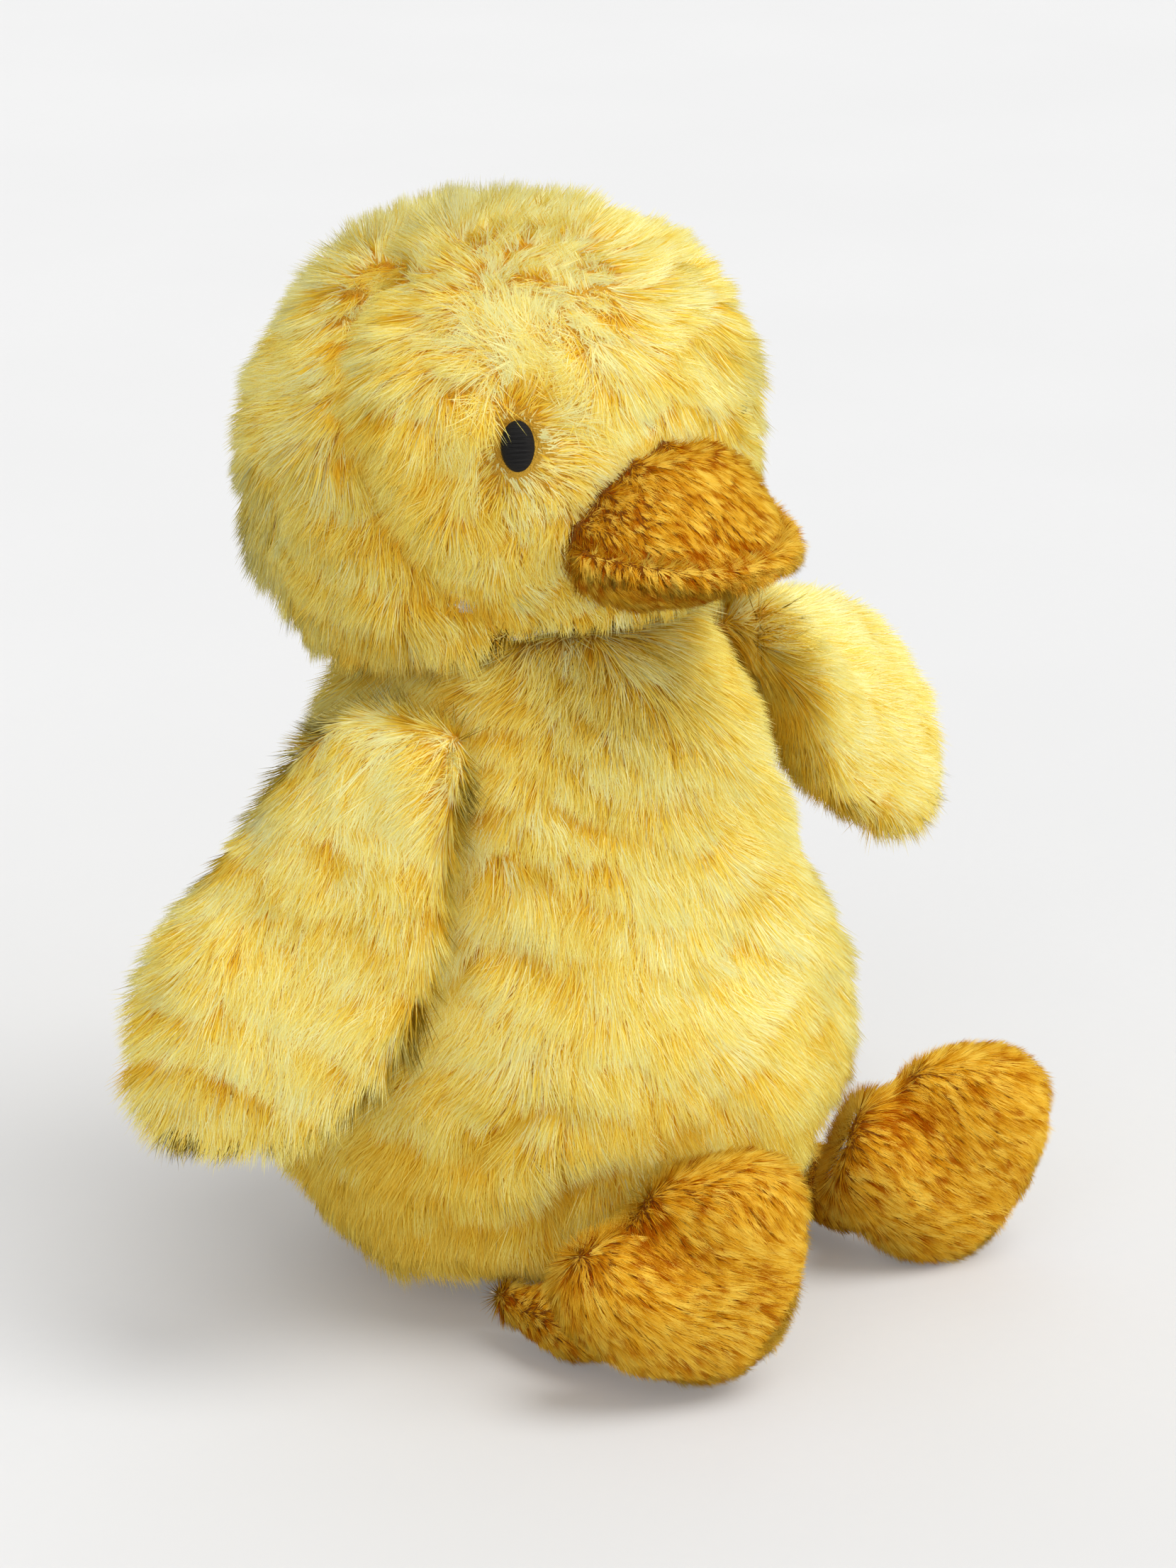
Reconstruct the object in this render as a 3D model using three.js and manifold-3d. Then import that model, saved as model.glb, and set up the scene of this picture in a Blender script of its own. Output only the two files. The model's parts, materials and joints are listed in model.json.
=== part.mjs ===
// A plush chick sitting with its legs out in front, sewn from pile cloth and stuffed.
// It faces -Y, its left side is +X, and its seat lies on z = 0. Millimetres and degrees.
import * as THREE from 'three';
import { mergeVertices } from 'three/addons/utils/BufferGeometryUtils.js';
import Module from 'manifold-3d';

const wasm = await Module();
wasm.setup();

// Cloth, thread and clearances
const seamGap = 0.3; // between pieces that touch
const runningGap = 0.8; // round a ball that turns
const longPile = 6; // yellow cloth, backing and pressed pile together
const shortPile = 2.4; // ochre cloth
const threadRadius = 0.6;

// Body, a pear that leans back on a flat seat
const leanBack = 3.5;
const bellyRadius = 50.5;
const bellyHeight = 40; // of the widest ring
const seatSag = 5; // depth of the round bottom that is pressed flat
const seatFullness = 2.1; // 2 is round, more is squarer
const seatRadius = 25; // of the round seat panel
const neckHeight = 84; // of the ball that the head turns on
const neckRadius = 40;
const neckHoleRadius = 18; // where the neck edge is gathered
const pouchRadius = 24; // bag of pellets behind the seat
const pouchHeight = 17;
const pouchCloth = 0.8;
const pouchMouth = 6;
const closingStitches = 7; // along the middle of the back
const closingStart = 38;
const stitchPitch = 4;
const stitchReach = 2.5;

// Head
const headTurn = -12; // towards the chick's left
const headRise = 55; // of its middle over the neck ball
const headSet = 9; // and behind it
const headWidth = 86;
const headDepth = 85;
const headTall = 87;
const headFullness = 2.2; // 2 is an ellipsoid, more is fuller
const faceSeamBack = 2; // the seam over the crown lies this far behind the middle
const faceSeamTilt = 14;

// Bill
const billLength = 18; // past the face
const billWidth = 41;
const billUpperTall = 25;
const billLowerTall = 18;
const billLip = 1.8; // thickness of the upper half at the lip
const billRidge = 1.5; // how much the upper half narrows towards its ridge
const billDrop = 5.5; // of its lip under the middle of the head
const billPitch = 6;
const billRoot = 16; // sunk length behind the face, cut away by the head

// Eyes, sewn flat on the face
const eyeWidth = 5.2;
const eyeTall = 8;
const eyeThick = 2.4;
const eyeSpread = 38; // either side of the bill
const eyeRise = 18.5; // over the bill's lip

// Wings
const wingLength = 70;
const wingRootWidth = 34;
const wingWidth = 50;
const wingThick = 18;
const wingRootRadius = 2.6;
const wingAzimuth = 81; // of the shoulder seams, from straight ahead
const shoulderTurn = 7; // of both shoulders, right one back
const wingRise = 24; // of the shoulder seam over the widest ring of the neck ball
const wingLiftLeft = 57; // from hanging straight down
const wingLiftRight = 33;
const wingTwistLeft = 50; // front edge down
const wingTwistRight = 22;
const wingSkewLeft = 9; // blade set towards the back
const wingSkewRight = 12;
const wingDropLeft = 15; // as far as it swings down on to the body
const wingDropRight = 7;

// Legs and feet
const hipSpread = 71; // from straight ahead, on either side
const hipHeight = 8;
const hipRadius = 4;
const legRadius = 7.5;
const legLengthLeft = 29.5; // hip to ankle, drawn out
const legLengthRight = 24.5; // and pushed in
const legSplayLeft = -17;
const legSplayRight = -3;
const legRaise = 6; // as far as the leg swings up
const legDrop = 50; // and down
const ankleRadius = 6;
const ankleShift = -12; // from the middle of the foot, towards the chick's right
const toeBack = 3; // as far as the toes bend towards the body
const toeDrop = 25; // and away from it
const footWidth = 43;
const footToe = 20.5; // middle of the foot to the toe tips
const footHeel = 19; // and to the heel
const footThick = 19;
const footFan = 0.42; // how much the toes spread and the heel narrows
const toeNotch = 5; // deep notch, on the chick's right of the middle toe
const toeNotchTurn = 20;
const toeDip = 2; // shallow one on the other side
const toeDipTurn = 26;
const toeDimple = 0.45; // share of the thickness drawn in
const toeDimpleSet = 8; // its middle from the toe tips
const toeDimpleWide = 7;
const ankleRise = -7; // from the middle of the foot
const footTipBack = 6; // toes back towards the body
const footTurnLeft = -33; // soles away from straight ahead
const footTurnRight = -35;
const footRollLeft = -8;
const footRollRight = -22;

const yellow = new THREE.MeshStandardMaterial({ color: '#e6c55c', roughness: 0.95, metalness: 0 });
const ochre = new THREE.MeshStandardMaterial({ color: '#c8932b', roughness: 0.9, metalness: 0 });
const black = new THREE.MeshStandardMaterial({ color: '#15120f', roughness: 0.55, metalness: 0 });
const white = new THREE.MeshStandardMaterial({ color: '#efece4', roughness: 0.95, metalness: 0 });
const cream = new THREE.MeshStandardMaterial({ color: '#e9dfc2', roughness: 0.8, metalness: 0 });
const thread = new THREE.MeshStandardMaterial({ color: '#d8b24a', roughness: 0.7, metalness: 0 });

const rad = THREE.MathUtils.degToRad;
const ease = THREE.MathUtils.smoothstep;
const bodySides = 20;
const ballSides = 10;
const far = 300; // past the whole toy, for cutting blocks

function solidOf(geometry) {
  const bare = geometry.clone();
  bare.deleteAttribute('normal');
  bare.deleteAttribute('uv');
  const merged = mergeVertices(bare, 1e-4);
  const index = merged.index.array;
  const kept = [];
  for (let i = 0; i < index.length; i += 3) {
    const [a, b, c] = index.slice(i, i + 3);
    if (a !== b && b !== c && c !== a) kept.push(a, b, c);
  }
  return new wasm.Manifold(new wasm.Mesh({
    numProp: 3,
    vertProperties: new Float32Array(merged.attributes.position.array),
    triVerts: new Uint32Array(kept),
  }));
}

function meshOf(name, solid, material) {
  const { vertProperties, triVerts } = solid.getMesh();
  const geometry = new THREE.BufferGeometry();
  geometry.setAttribute('position', new THREE.BufferAttribute(vertProperties.slice(), 3));
  geometry.setIndex(new THREE.BufferAttribute(triVerts.slice(), 1));
  geometry.computeVertexNormals();
  const mesh = new THREE.Mesh(geometry, material);
  mesh.name = name;
  return mesh;
}

// A closed skin: rings of points between two poles, where at(v, angle) places each point.
function closedGrid(rings, sides, at) {
  const points = [at(0, 0)];
  for (let i = 1; i < rings; i += 1) {
    for (let j = 0; j < sides; j += 1) points.push(at(i / rings, (j / sides) * 2 * Math.PI));
  }
  points.push(at(1, 0));
  const last = points.length - 1;
  const faces = [];
  for (let j = 0; j < sides; j += 1) {
    const k = (j + 1) % sides;
    faces.push(0, 1 + j, 1 + k);
    for (let i = 0; i < rings - 2; i += 1) {
      const a = 1 + i * sides;
      faces.push(a + j, a + sides + j, a + sides + k, a + j, a + sides + k, a + k);
    }
    const end = 1 + (rings - 2) * sides;
    faces.push(last, end + k, end + j);
  }
  const geometry = new THREE.BufferGeometry().setFromPoints(points);
  geometry.setIndex(faces);
  return geometry;
}

const swell = (value, power) => Math.sign(value) * Math.abs(value) ** power;

// The same place seen from inside a group
const seenFrom = (group, solid) => {
  group.updateWorldMatrix(true, false);
  return solid.transform(group.matrixWorld.clone().invert().elements);
};

const block = (width, depth, tall, x, y, z) =>
  solidOf(new THREE.BoxGeometry(width, depth, tall).translate(x, y, z));
const under = (z) => block(far, far, far, 0, 0, z - far / 2);
const over = (z) => block(far, far, far, 0, 0, z + far / 2);
const ball = (radius, sides) => solidOf(new THREE.SphereGeometry(radius, sides, sides / 2));
const upright = (points, sides) => new THREE.LatheGeometry(points, sides).rotateX(Math.PI / 2);
const disc = (radius, low, high) =>
  solidOf(new THREE.CylinderGeometry(radius, radius, high - low, bodySides)
    .rotateX(Math.PI / 2).translate(0, 0, (low + high) / 2));

// Body radius at a height along its axis: a round bottom, then a slope into the neck ball
function bodyRadiusAt(height, inset = 0) {
  const belly = bellyRadius - inset;
  const neck = neckRadius - inset;
  if (height < bellyHeight) {
    const drop = (bellyHeight - height) / (bellyHeight + seatSag - inset);
    return belly * (1 - Math.min(drop, 1) ** seatFullness) ** (1 / seatFullness);
  }
  if (height < neckHeight) {
    return THREE.MathUtils.lerp(belly, neck, ease(height, bellyHeight, neckHeight) ** 1.5);
  }
  return Math.sqrt(Math.max(neck ** 2 - (height - neckHeight) ** 2, 0));
}

function bodyForm(inset) {
  const low = inset - seatSag;
  const points = [];
  for (let i = 0; i <= 6; i += 1) {
    const height = bellyHeight - (bellyHeight - low) * Math.cos((i / 6) * Math.PI / 2);
    points.push(new THREE.Vector2(i === 0 ? 0 : bodyRadiusAt(height, inset), height));
  }
  for (let i = 1; i <= 4; i += 1) {
    const height = THREE.MathUtils.lerp(bellyHeight, neckHeight, i / 4);
    points.push(new THREE.Vector2(bodyRadiusAt(height, inset), height));
  }
  for (let i = 1; i <= 5; i += 1) {
    const angle = (i / 5) * Math.PI / 2;
    const neck = neckRadius - inset;
    points.push(new THREE.Vector2(i === 5 ? 0 : neck * Math.cos(angle), neckHeight + neck * Math.sin(angle)));
  }
  return solidOf(upright(points, bodySides)).subtract(seenFrom(torso, under(inset)));
}

// The torso group leans back; its Z axis is the body's own axis
const chick = new THREE.Group();
const torso = new THREE.Group();
torso.rotation.x = -rad(leanBack);
chick.add(torso);

const onBody = (azimuth, height, outset) => {
  const radius = bodyRadiusAt(height) + outset;
  const place = new THREE.Vector3(
    radius * Math.sin(rad(azimuth)), -radius * Math.cos(rad(azimuth)), height);
  return torso.localToWorld(place);
};
torso.updateWorldMatrix(true, false);

const bodyOuter = bodyForm(0);
const bodyClear = bodyForm(-seamGap);
const bodyCavity = bodyForm(longPile);
const cleared = (solid, group, form = bodyClear) =>
  solid.subtract(seenFrom(group, form.transform(torso.matrixWorld.elements)));

// Legs and feet are laid out first, because their hip balls are let into the body
function limbSide(side) {
  const leg = new THREE.Group();
  leg.position.copy(onBody(side * hipSpread, hipHeight, hipRadius * 0.5));
  leg.rotation.z = rad(side > 0 ? legSplayLeft : -legSplayRight);
  chick.add(leg);
  const foot = new THREE.Group();
  const length = side > 0 ? legLengthLeft : legLengthRight;
  foot.position.set(0, -length, 0);
  leg.add(foot);
  return { side, leg, foot, length };
}
const left = limbSide(1);
const right = limbSide(-1);

const hipSocket = (limb) => {
  limb.leg.updateWorldMatrix(true, false);
  return seenFrom(torso, ball(hipRadius + runningGap, ballSides).transform(limb.leg.matrixWorld.elements));
};
const hipSockets = hipSocket(left).add(hipSocket(right));

// Body cover: belly, two back panels and a round seat
const neckRing = neckHeight + Math.sqrt((neckRadius - longPile / 2) ** 2 - neckHoleRadius ** 2);
const neckGroove = threadRadius + seamGap;
const ringAt = (tube) => solidOf(
  new THREE.TorusGeometry(neckHoleRadius, tube, 6, bodySides).translate(0, 0, neckRing));
const cover = bodyOuter.subtract(bodyCavity)
  .subtract(disc(neckHoleRadius, neckHeight, neckHeight + far))
  .subtract(ringAt(neckGroove)).subtract(hipSockets);
const seatZone = (radius) => disc(radius, -far, bellyHeight);
const wall = cover.subtract(seatZone(seatRadius + seamGap));
const half = seamGap / 2;
const frontHalf = block(far, far, far, 0, -half - far / 2, 0);
const backHalf = block(far, far, far, 0, half + far / 2, 0);
const leftHalf = block(far, far, far, half + far / 2, 0, 0);
const rightHalf = block(far, far, far, -half - far / 2, 0, 0);
torso.add(meshOf('belly_panel', wall.intersect(frontHalf), yellow));
torso.add(meshOf('back_panel_left', wall.intersect(backHalf).intersect(leftHalf), yellow));
torso.add(meshOf('back_panel_right', wall.intersect(backHalf).intersect(rightHalf), yellow));
torso.add(meshOf('seat_panel', cover.intersect(seatZone(seatRadius)), yellow));

// Pellet pouch on the seat, and the stuffing over it
const pouchFloor = longPile + seamGap;
const pouchForm = (inset) => {
  const tall = pouchHeight - inset;
  const points = [new THREE.Vector2(0, inset)];
  for (let i = 0; i <= 4; i += 1) {
    const angle = (i / 4) * Math.PI / 2;
    const radius = i === 4 ? 0 : (pouchRadius - inset) * Math.cos(angle) ** 0.6;
    points.push(new THREE.Vector2(radius, inset + (tall - inset) * Math.sin(angle)));
  }
  const bag = solidOf(upright(points, ballSides + 4).translate(0, 0, pouchFloor));
  return bag.intersect(bodyForm(longPile + seamGap + inset).transform(torso.matrixWorld.elements));
};
const pouch = new THREE.Group();
chick.add(pouch);
const mouth = disc(pouchMouth, pouchFloor + pouchHeight / 2, far);
pouch.add(meshOf('pellet_pouch', pouchForm(0).subtract(pouchForm(pouchCloth)).subtract(mouth), cream));
pouch.add(meshOf('pellet_fill', pouchForm(pouchCloth + seamGap), white));
const pouchRecess = seenFrom(torso, pouchForm(-seamGap).add(disc(pouchRadius + seamGap, 0, pouchFloor)));
const bodyFill = bodyForm(longPile + seamGap).subtract(pouchRecess)
  .subtract(ringAt(neckGroove)).subtract(hipSockets);
torso.add(meshOf('body_stuffing', bodyFill, white));

// Ladder stitches that close the middle of the back
const ladder = [];
for (let i = 0; i <= closingStitches; i += 1) {
  const height = closingStart + i * stitchPitch;
  const x = i % 2 ? stitchReach : -stitchReach;
  ladder.push(new THREE.Vector3(x, bodyRadiusAt(height) + threadRadius + seamGap, height));
}
const ladderPath = new THREE.CatmullRomCurve3(ladder, false, 'catmullrom', 0.2);
const threadSection = new THREE.Shape().absarc(0, 0, threadRadius, 0, 2 * Math.PI);
const ladderTube = new THREE.ExtrudeGeometry(threadSection, {
  steps: closingStitches * 3, curveSegments: 2, extrudePath: ladderPath, bevelEnabled: false,
});
torso.add(meshOf('closing_stitch', solidOf(ladderTube), thread));
torso.add(meshOf('neck_thread', ringAt(threadRadius), thread));

// Head: its frame stands on the neck ball
const head = new THREE.Group();
head.position.copy(torso.localToWorld(new THREE.Vector3(0, 0, neckHeight)));
head.rotation.z = rad(headTurn);
chick.add(head);

function headForm(inset) {
  const power = 2 / headFullness;
  return solidOf(closedGrid(11, bodySides, (v, angle) => {
    const ring = swell(Math.sin(Math.PI * v), power);
    return new THREE.Vector3(
      (headWidth / 2 - inset) * ring * swell(Math.cos(angle), power),
      headSet + (headDepth / 2 - inset) * ring * swell(Math.sin(angle), power),
      headRise + (headTall / 2 - inset) * swell(Math.cos(Math.PI * v), power));
  }));
}
const headOuter = headForm(0);
const headClear = headForm(-seamGap);
const neckSocket = ball(neckRadius + runningGap, bodySides + 4);
const headCover = headOuter.subtract(headForm(longPile)).subtract(neckSocket);
const crownSeam = (behind) => {
  const shift = behind ? half + far / 2 : -half - far / 2;
  const geometry = new THREE.BoxGeometry(far, far, far).translate(0, shift, 0)
    .rotateX(-rad(faceSeamTilt)).translate(0, headSet + faceSeamBack, headRise);
  return solidOf(geometry);
};
head.add(meshOf('face_panel', headCover.intersect(crownSeam(false)), yellow));
head.add(meshOf('head_back_panel', headCover.intersect(crownSeam(true)), yellow));
head.add(meshOf('head_stuffing', headForm(longPile + seamGap).subtract(neckSocket), white));

// Bill: its lip is a level plane, domed above and shallower below
const bill = new THREE.Group();
bill.position.set(0, headSet - headDepth / 2, headRise - billDrop);
bill.rotation.x = rad(billPitch);
head.add(bill);

// A wedge: its ridge falls straight from the forehead to the lip, which is the widest line
function billForm(inset) {
  const reach = billLength + billRoot - inset;
  return solidOf(closedGrid(9, 16, (v, angle) => {
    const along = 1 - (1 - v) ** 1.4;
    const round = (1 - along ** 2.6) ** 0.5 * Math.min(v * 9, 1);
    const side = (billWidth / 2 - inset) * round * swell(Math.cos(angle), 0.85);
    const slope = (1 - along) * Math.min(v * 9, 1);
    const ridge = Math.max(billUpperTall * slope + billLip * round - inset, 0.1 * round);
    const chin = Math.max(billLowerTall * slope + billLip * round - inset, 0.1 * round);
    const rise = -Math.sin(angle);
    const z = rise > 0 ? ridge * rise ** billRidge : chin * rise;
    return new THREE.Vector3(side, billRoot - reach * along, z);
  }));
}
const freeOfHead = (solid, group) => {
  const inHead = headClear.transform(head.matrixWorld.elements);
  return solid.subtract(seenFrom(group, inHead));
};
head.updateWorldMatrix(true, true);
const billCover = freeOfHead(billForm(0).subtract(billForm(shortPile)), bill);
bill.add(meshOf('upper_bill', billCover.intersect(over(half)), ochre));
bill.add(meshOf('lower_bill', billCover.intersect(under(-half)), ochre));
bill.add(meshOf('bill_stuffing', freeOfHead(billForm(shortPile + seamGap), bill), white));

// Eyes
function eye(side) {
  const place = new THREE.Group();
  const azimuth = rad(side * eyeSpread);
  const rise = eyeRise - billDrop;
  const ring = (1 - (rise / (headTall / 2)) ** headFullness) ** (1 / headFullness);
  const reach = ring / ((Math.abs(Math.sin(azimuth)) / (headWidth / 2)) ** headFullness
    + (Math.cos(azimuth) / (headDepth / 2)) ** headFullness) ** (1 / headFullness);
  place.position.set(reach * Math.sin(azimuth), headSet - reach * Math.cos(azimuth), headRise + rise);
  place.rotation.set(-Math.asin(rise / (headTall / 2)), 0, azimuth, 'ZXY');
  head.add(place);
  const oval = new THREE.SphereGeometry(0.5, 12, 8).scale(eyeWidth, eyeThick, eyeTall);
  place.add(meshOf(side > 0 ? 'eye_left' : 'eye_right', freeOfHead(solidOf(oval), place), black));
}
eye(1);
eye(-1);

// Wings: flat padded mitts, hinged along a thin root on the shoulder seam
function wing(side) {
  const word = side > 0 ? 'left' : 'right';
  const lift = rad(side > 0 ? wingLiftLeft : wingLiftRight);
  const twist = side * rad(side > 0 ? wingTwistLeft : wingTwistRight);
  const skew = Math.tan(rad(side > 0 ? wingSkewLeft : wingSkewRight));
  const azimuth = rad(wingAzimuth - side * shoulderTurn);
  const out = new THREE.Vector3(side * Math.sin(azimuth), -Math.cos(azimuth), 0);
  const front = new THREE.Vector3(-side * Math.cos(azimuth), -Math.sin(azimuth), 0);
  const along = new THREE.Vector3(0, 0, -Math.cos(lift)).addScaledVector(out, Math.sin(lift));
  const across = new THREE.Vector3().crossVectors(along, front);
  const place = new THREE.Group();
  const reach = neckRadius * Math.cos(Math.PI / bodySides) + wingRootRadius + seamGap;
  place.position.set(0, 0, neckHeight + reach * Math.sin(rad(wingRise)))
    .addScaledVector(out, reach * Math.cos(rad(wingRise)));
  place.quaternion.setFromRotationMatrix(new THREE.Matrix4().makeBasis(along, front, across));
  torso.add(place);
  place.updateMatrix();

  const lengthAxis = new THREE.Vector3(1, 0, 0);
  const shaped = (point) => {
    point.applyAxisAngle(lengthAxis, twist * ease(point.x, 0, wingLength * 0.5));
    point.y -= skew * point.x;
    return point;
  };
  const form = (inset) => {
    const start = inset > 0 ? wingLength * 0.2 + inset : -wingRootRadius;
    const length = wingLength - inset;
    return solidOf(closedGrid(9, 12, (v, angle) => {
      const x = THREE.MathUtils.lerp(start, length, 0.5 - 0.5 * Math.cos(Math.PI * v ** 1.1));
      const root = Math.sqrt(Math.max(1 - Math.min((x - start) / wingRootRadius - 1, 0) ** 2, 0));
      const past = Math.max((x / length - 0.6) / 0.4, 0);
      const round = root * Math.sqrt(Math.max(1 - past ** 2.4, 0));
      const wide = THREE.MathUtils.lerp(wingRootWidth, wingWidth, ease(x, 0, wingLength * 0.62)) / 2;
      const thick = THREE.MathUtils.lerp(wingRootRadius, wingThick / 2, ease(x, 0, wingLength * 0.36));
      const rise = -thick * (1 - 2 * inset / wingThick) * round * Math.sin(angle);
      return shaped(new THREE.Vector3(x, (wide - inset) * round * Math.cos(angle), rise));
    }));
  };
  // Everything on one side of the twisted middle sheet
  const faceBlock = (offset) => {
    const long = wingLength + 4 * wingRootRadius;
    const geometry = new THREE.BoxGeometry(long, wingWidth * 1.3, wingThick, 8, 2, 1)
      .translate(wingLength / 2, 0, offset + wingThick / 2);
    const { position } = geometry.attributes;
    for (let i = 0; i < position.count; i += 1) {
      position.setXYZ(i, ...shaped(new THREE.Vector3().fromBufferAttribute(position, i)));
    }
    return solidOf(geometry);
  };
  const lowered = new THREE.Group();
  lowered.applyMatrix4(torso.matrixWorld.clone().multiply(place.matrix));
  lowered.rotateY(-side * rad(side > 0 ? wingDropLeft : wingDropRight));
  const shell = cleared(cleared(form(0).subtract(form(longPile)), place), lowered);
  const inner = shell.intersect(faceBlock(half));
  const outer = shell.subtract(faceBlock(-half));
  place.add(meshOf(`wing_${word}_outer`, side > 0 ? outer : inner, yellow));
  place.add(meshOf(`wing_${word}_inner`, side > 0 ? inner : outer, yellow));
  place.add(meshOf(`wing_${word}_stuffing`, form(longPile + seamGap), white));
}
wing(1);
wing(-1);

// Legs: short tubes between a hip ball and an ankle ball
function legForm(length, inset, open = false) {
  const points = [];
  const start = open ? -hipRadius - shortPile : inset - hipRadius;
  points.push(new THREE.Vector2(0, start));
  for (let i = 1; i < 5; i += 1) {
    const y = THREE.MathUtils.lerp(-hipRadius + inset, length, i / 5);
    const thigh = THREE.MathUtils.lerp(hipRadius, legRadius, ease(y, 0, length * 0.6));
    const shin = THREE.MathUtils.lerp(0, legRadius - ankleRadius, ease(y, length * 0.6, length));
    const root = open ? 1 : Math.sqrt(Math.max(1 - Math.min(y / hipRadius, 0) ** 2, 0.01));
    points.push(new THREE.Vector2((thigh - shin - inset) * root, y));
  }
  if (open) points.splice(1, 0, new THREE.Vector2(hipRadius - inset, start));
  for (let i = 0; i <= 3; i += 1) {
    const angle = (i / 3) * Math.PI / 2;
    const reach = ankleRadius - inset;
    points.push(new THREE.Vector2(i === 3 ? 0 : reach * Math.cos(angle), length + reach * Math.sin(angle)));
  }
  return solidOf(new THREE.LatheGeometry(points, 8).rotateX(Math.PI));
}

function legAndFoot({ side, leg, foot, length }) {
  const word = side > 0 ? 'left' : 'right';
  const turn = rad(side > 0 ? footTurnLeft : footTurnRight) - leg.rotation.z;
  foot.rotation.set(-rad(footTipBack), rad(side > 0 ? footRollLeft : footRollRight), turn, 'ZYX');
  // The same limb as it swings, to keep the leg and the foot clear of the body
  const swung = (angle) => leg.clone().rotateX(-rad(angle));
  const socketed = bodyForm(-runningGap).subtract(hipSockets);
  const swings = [swung(0)];
  for (let i = 0; i < 8; i += 1) swings.push(swung(THREE.MathUtils.lerp(legRaise, -legDrop, i / 7)));
  const free = (solid) => swings.reduce((kept, at) => cleared(kept, at, socketed), solid);
  const tube = free(legForm(length, 0)).subtract(legForm(length, shortPile, true));
  const [bent] = swung(legRaise).children;
  bent.rotateX(-rad(toeBack));
  leg.add(meshOf(`leg_${word}_tube`, tube, ochre));
  leg.add(meshOf(`leg_${word}_stuffing`, free(legForm(length, shortPile + seamGap)), white));

  // The foot is a heart-shaped pad; its frame has the sole along -Y and the toes up
  const outline = (angle) => {
    const toe = Math.cos(angle);
    const reach = THREE.MathUtils.lerp(footHeel, footToe, 0.5 + 0.5 * toe);
    const sides = THREE.MathUtils.lerp(reach, footWidth / 2, Math.sin(angle) ** 2);
    const fromToe = angle > Math.PI ? angle - 2 * Math.PI : angle;
    const notch = toeNotch * Math.exp(-(((fromToe + rad(toeNotchTurn)) / 0.35) ** 2));
    return sides - notch - toeDip * Math.exp(-(((fromToe - rad(toeDipTurn)) / 0.3) ** 2));
  };
  const middle = -footThick / 2;
  const form = (inset) => solidOf(closedGrid(7, 18, (v, angle) => {
    const spread = Math.sin(Math.PI * v) ** 0.7 * (outline(angle) - inset);
    const z = spread * Math.cos(angle);
    const x = spread * Math.sin(angle) * (1 + footFan * z / footToe);
    const across = x + (footToe - toeDimpleSet) * Math.sin(rad(toeNotchTurn));
    const below = z - footToe + toeDimpleSet;
    const pinch = 1 - toeDimple * Math.exp(-((across / toeDimpleWide) ** 2 + (below / toeDimpleSet) ** 2));
    return new THREE.Vector3(x, (footThick / 2 - inset) * pinch * Math.cos(Math.PI * v), z);
  }).translate(-ankleShift, middle, -ankleRise));
  const legRoom = legForm(length, -runningGap).transform(leg.matrixWorld.elements);
  const legSeen = seenFrom(foot, legRoom);
  const bends = [-toeDrop, 0, toeBack];
  const pocket = bends.map((bend) => legSeen.transform(new THREE.Matrix4().makeRotationX(rad(bend)).elements))
    .reduce((sum, solid) => sum.add(solid));
  const cut = (solid, floor) => cleared(cleared(solid, foot), bent)
    .subtract(pocket).subtract(seenFrom(foot, under(floor)));
  const shell = cut(form(0).subtract(form(shortPile)), 0);
  const sole = block(far, far, far, 0, middle - half - far / 2, 0);
  const instep = block(far, far, far, 0, middle + half + far / 2, 0);
  foot.add(meshOf(`foot_${word}_sole`, shell.intersect(sole), ochre));
  foot.add(meshOf(`foot_${word}_instep`, shell.intersect(instep), ochre));
  foot.add(meshOf(`foot_${word}_stuffing`, cut(form(shortPile + seamGap), shortPile), white));
}
legAndFoot(left);
legAndFoot(right);

export default chick;
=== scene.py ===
import itertools
import json
import math
import bmesh
import bpy
import numpy as np
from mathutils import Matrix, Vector
from mathutils.bvhtree import BVHTree


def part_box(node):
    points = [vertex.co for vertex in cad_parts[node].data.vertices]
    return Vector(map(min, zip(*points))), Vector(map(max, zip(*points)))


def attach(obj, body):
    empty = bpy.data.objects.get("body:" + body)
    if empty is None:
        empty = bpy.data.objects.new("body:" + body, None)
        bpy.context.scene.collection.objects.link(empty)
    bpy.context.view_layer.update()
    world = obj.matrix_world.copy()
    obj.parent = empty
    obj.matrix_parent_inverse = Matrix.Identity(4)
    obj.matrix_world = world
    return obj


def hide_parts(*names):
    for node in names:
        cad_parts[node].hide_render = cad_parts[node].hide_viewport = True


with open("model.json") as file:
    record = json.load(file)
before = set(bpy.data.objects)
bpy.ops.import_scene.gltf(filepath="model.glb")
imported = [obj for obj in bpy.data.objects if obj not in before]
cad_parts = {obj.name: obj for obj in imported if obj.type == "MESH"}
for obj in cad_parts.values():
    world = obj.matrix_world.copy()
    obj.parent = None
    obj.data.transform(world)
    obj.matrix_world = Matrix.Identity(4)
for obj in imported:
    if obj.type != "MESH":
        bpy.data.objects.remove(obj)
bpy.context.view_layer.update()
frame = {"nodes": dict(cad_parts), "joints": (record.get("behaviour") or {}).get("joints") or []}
nodes = frame["nodes"]
joints = {j["name"]: j for j in frame["joints"]}
mm = 0.001
bothSides = ("left", "right")
scene = bpy.context.scene
scene.view_settings.view_transform = "Standard"
print("frame loaded:", len(nodes), "nodes")


# camera of the photograph: 55 degrees to the chick's right and 20 above the floor
cameraView = {
    "azimuth": -55, "elevation": 20, "distance": 0.8, "lens": 110.7,
    "target": (0.0022, -0.0035, 0.0843),
}


def viewAxes(azimuth, elevation):
    a, e = math.radians(azimuth), math.radians(elevation)
    back = Vector((math.sin(a) * math.cos(e), -math.cos(a) * math.cos(e), math.sin(e)))
    right = Vector((math.cos(a), math.sin(a), 0))
    return right, back


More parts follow.
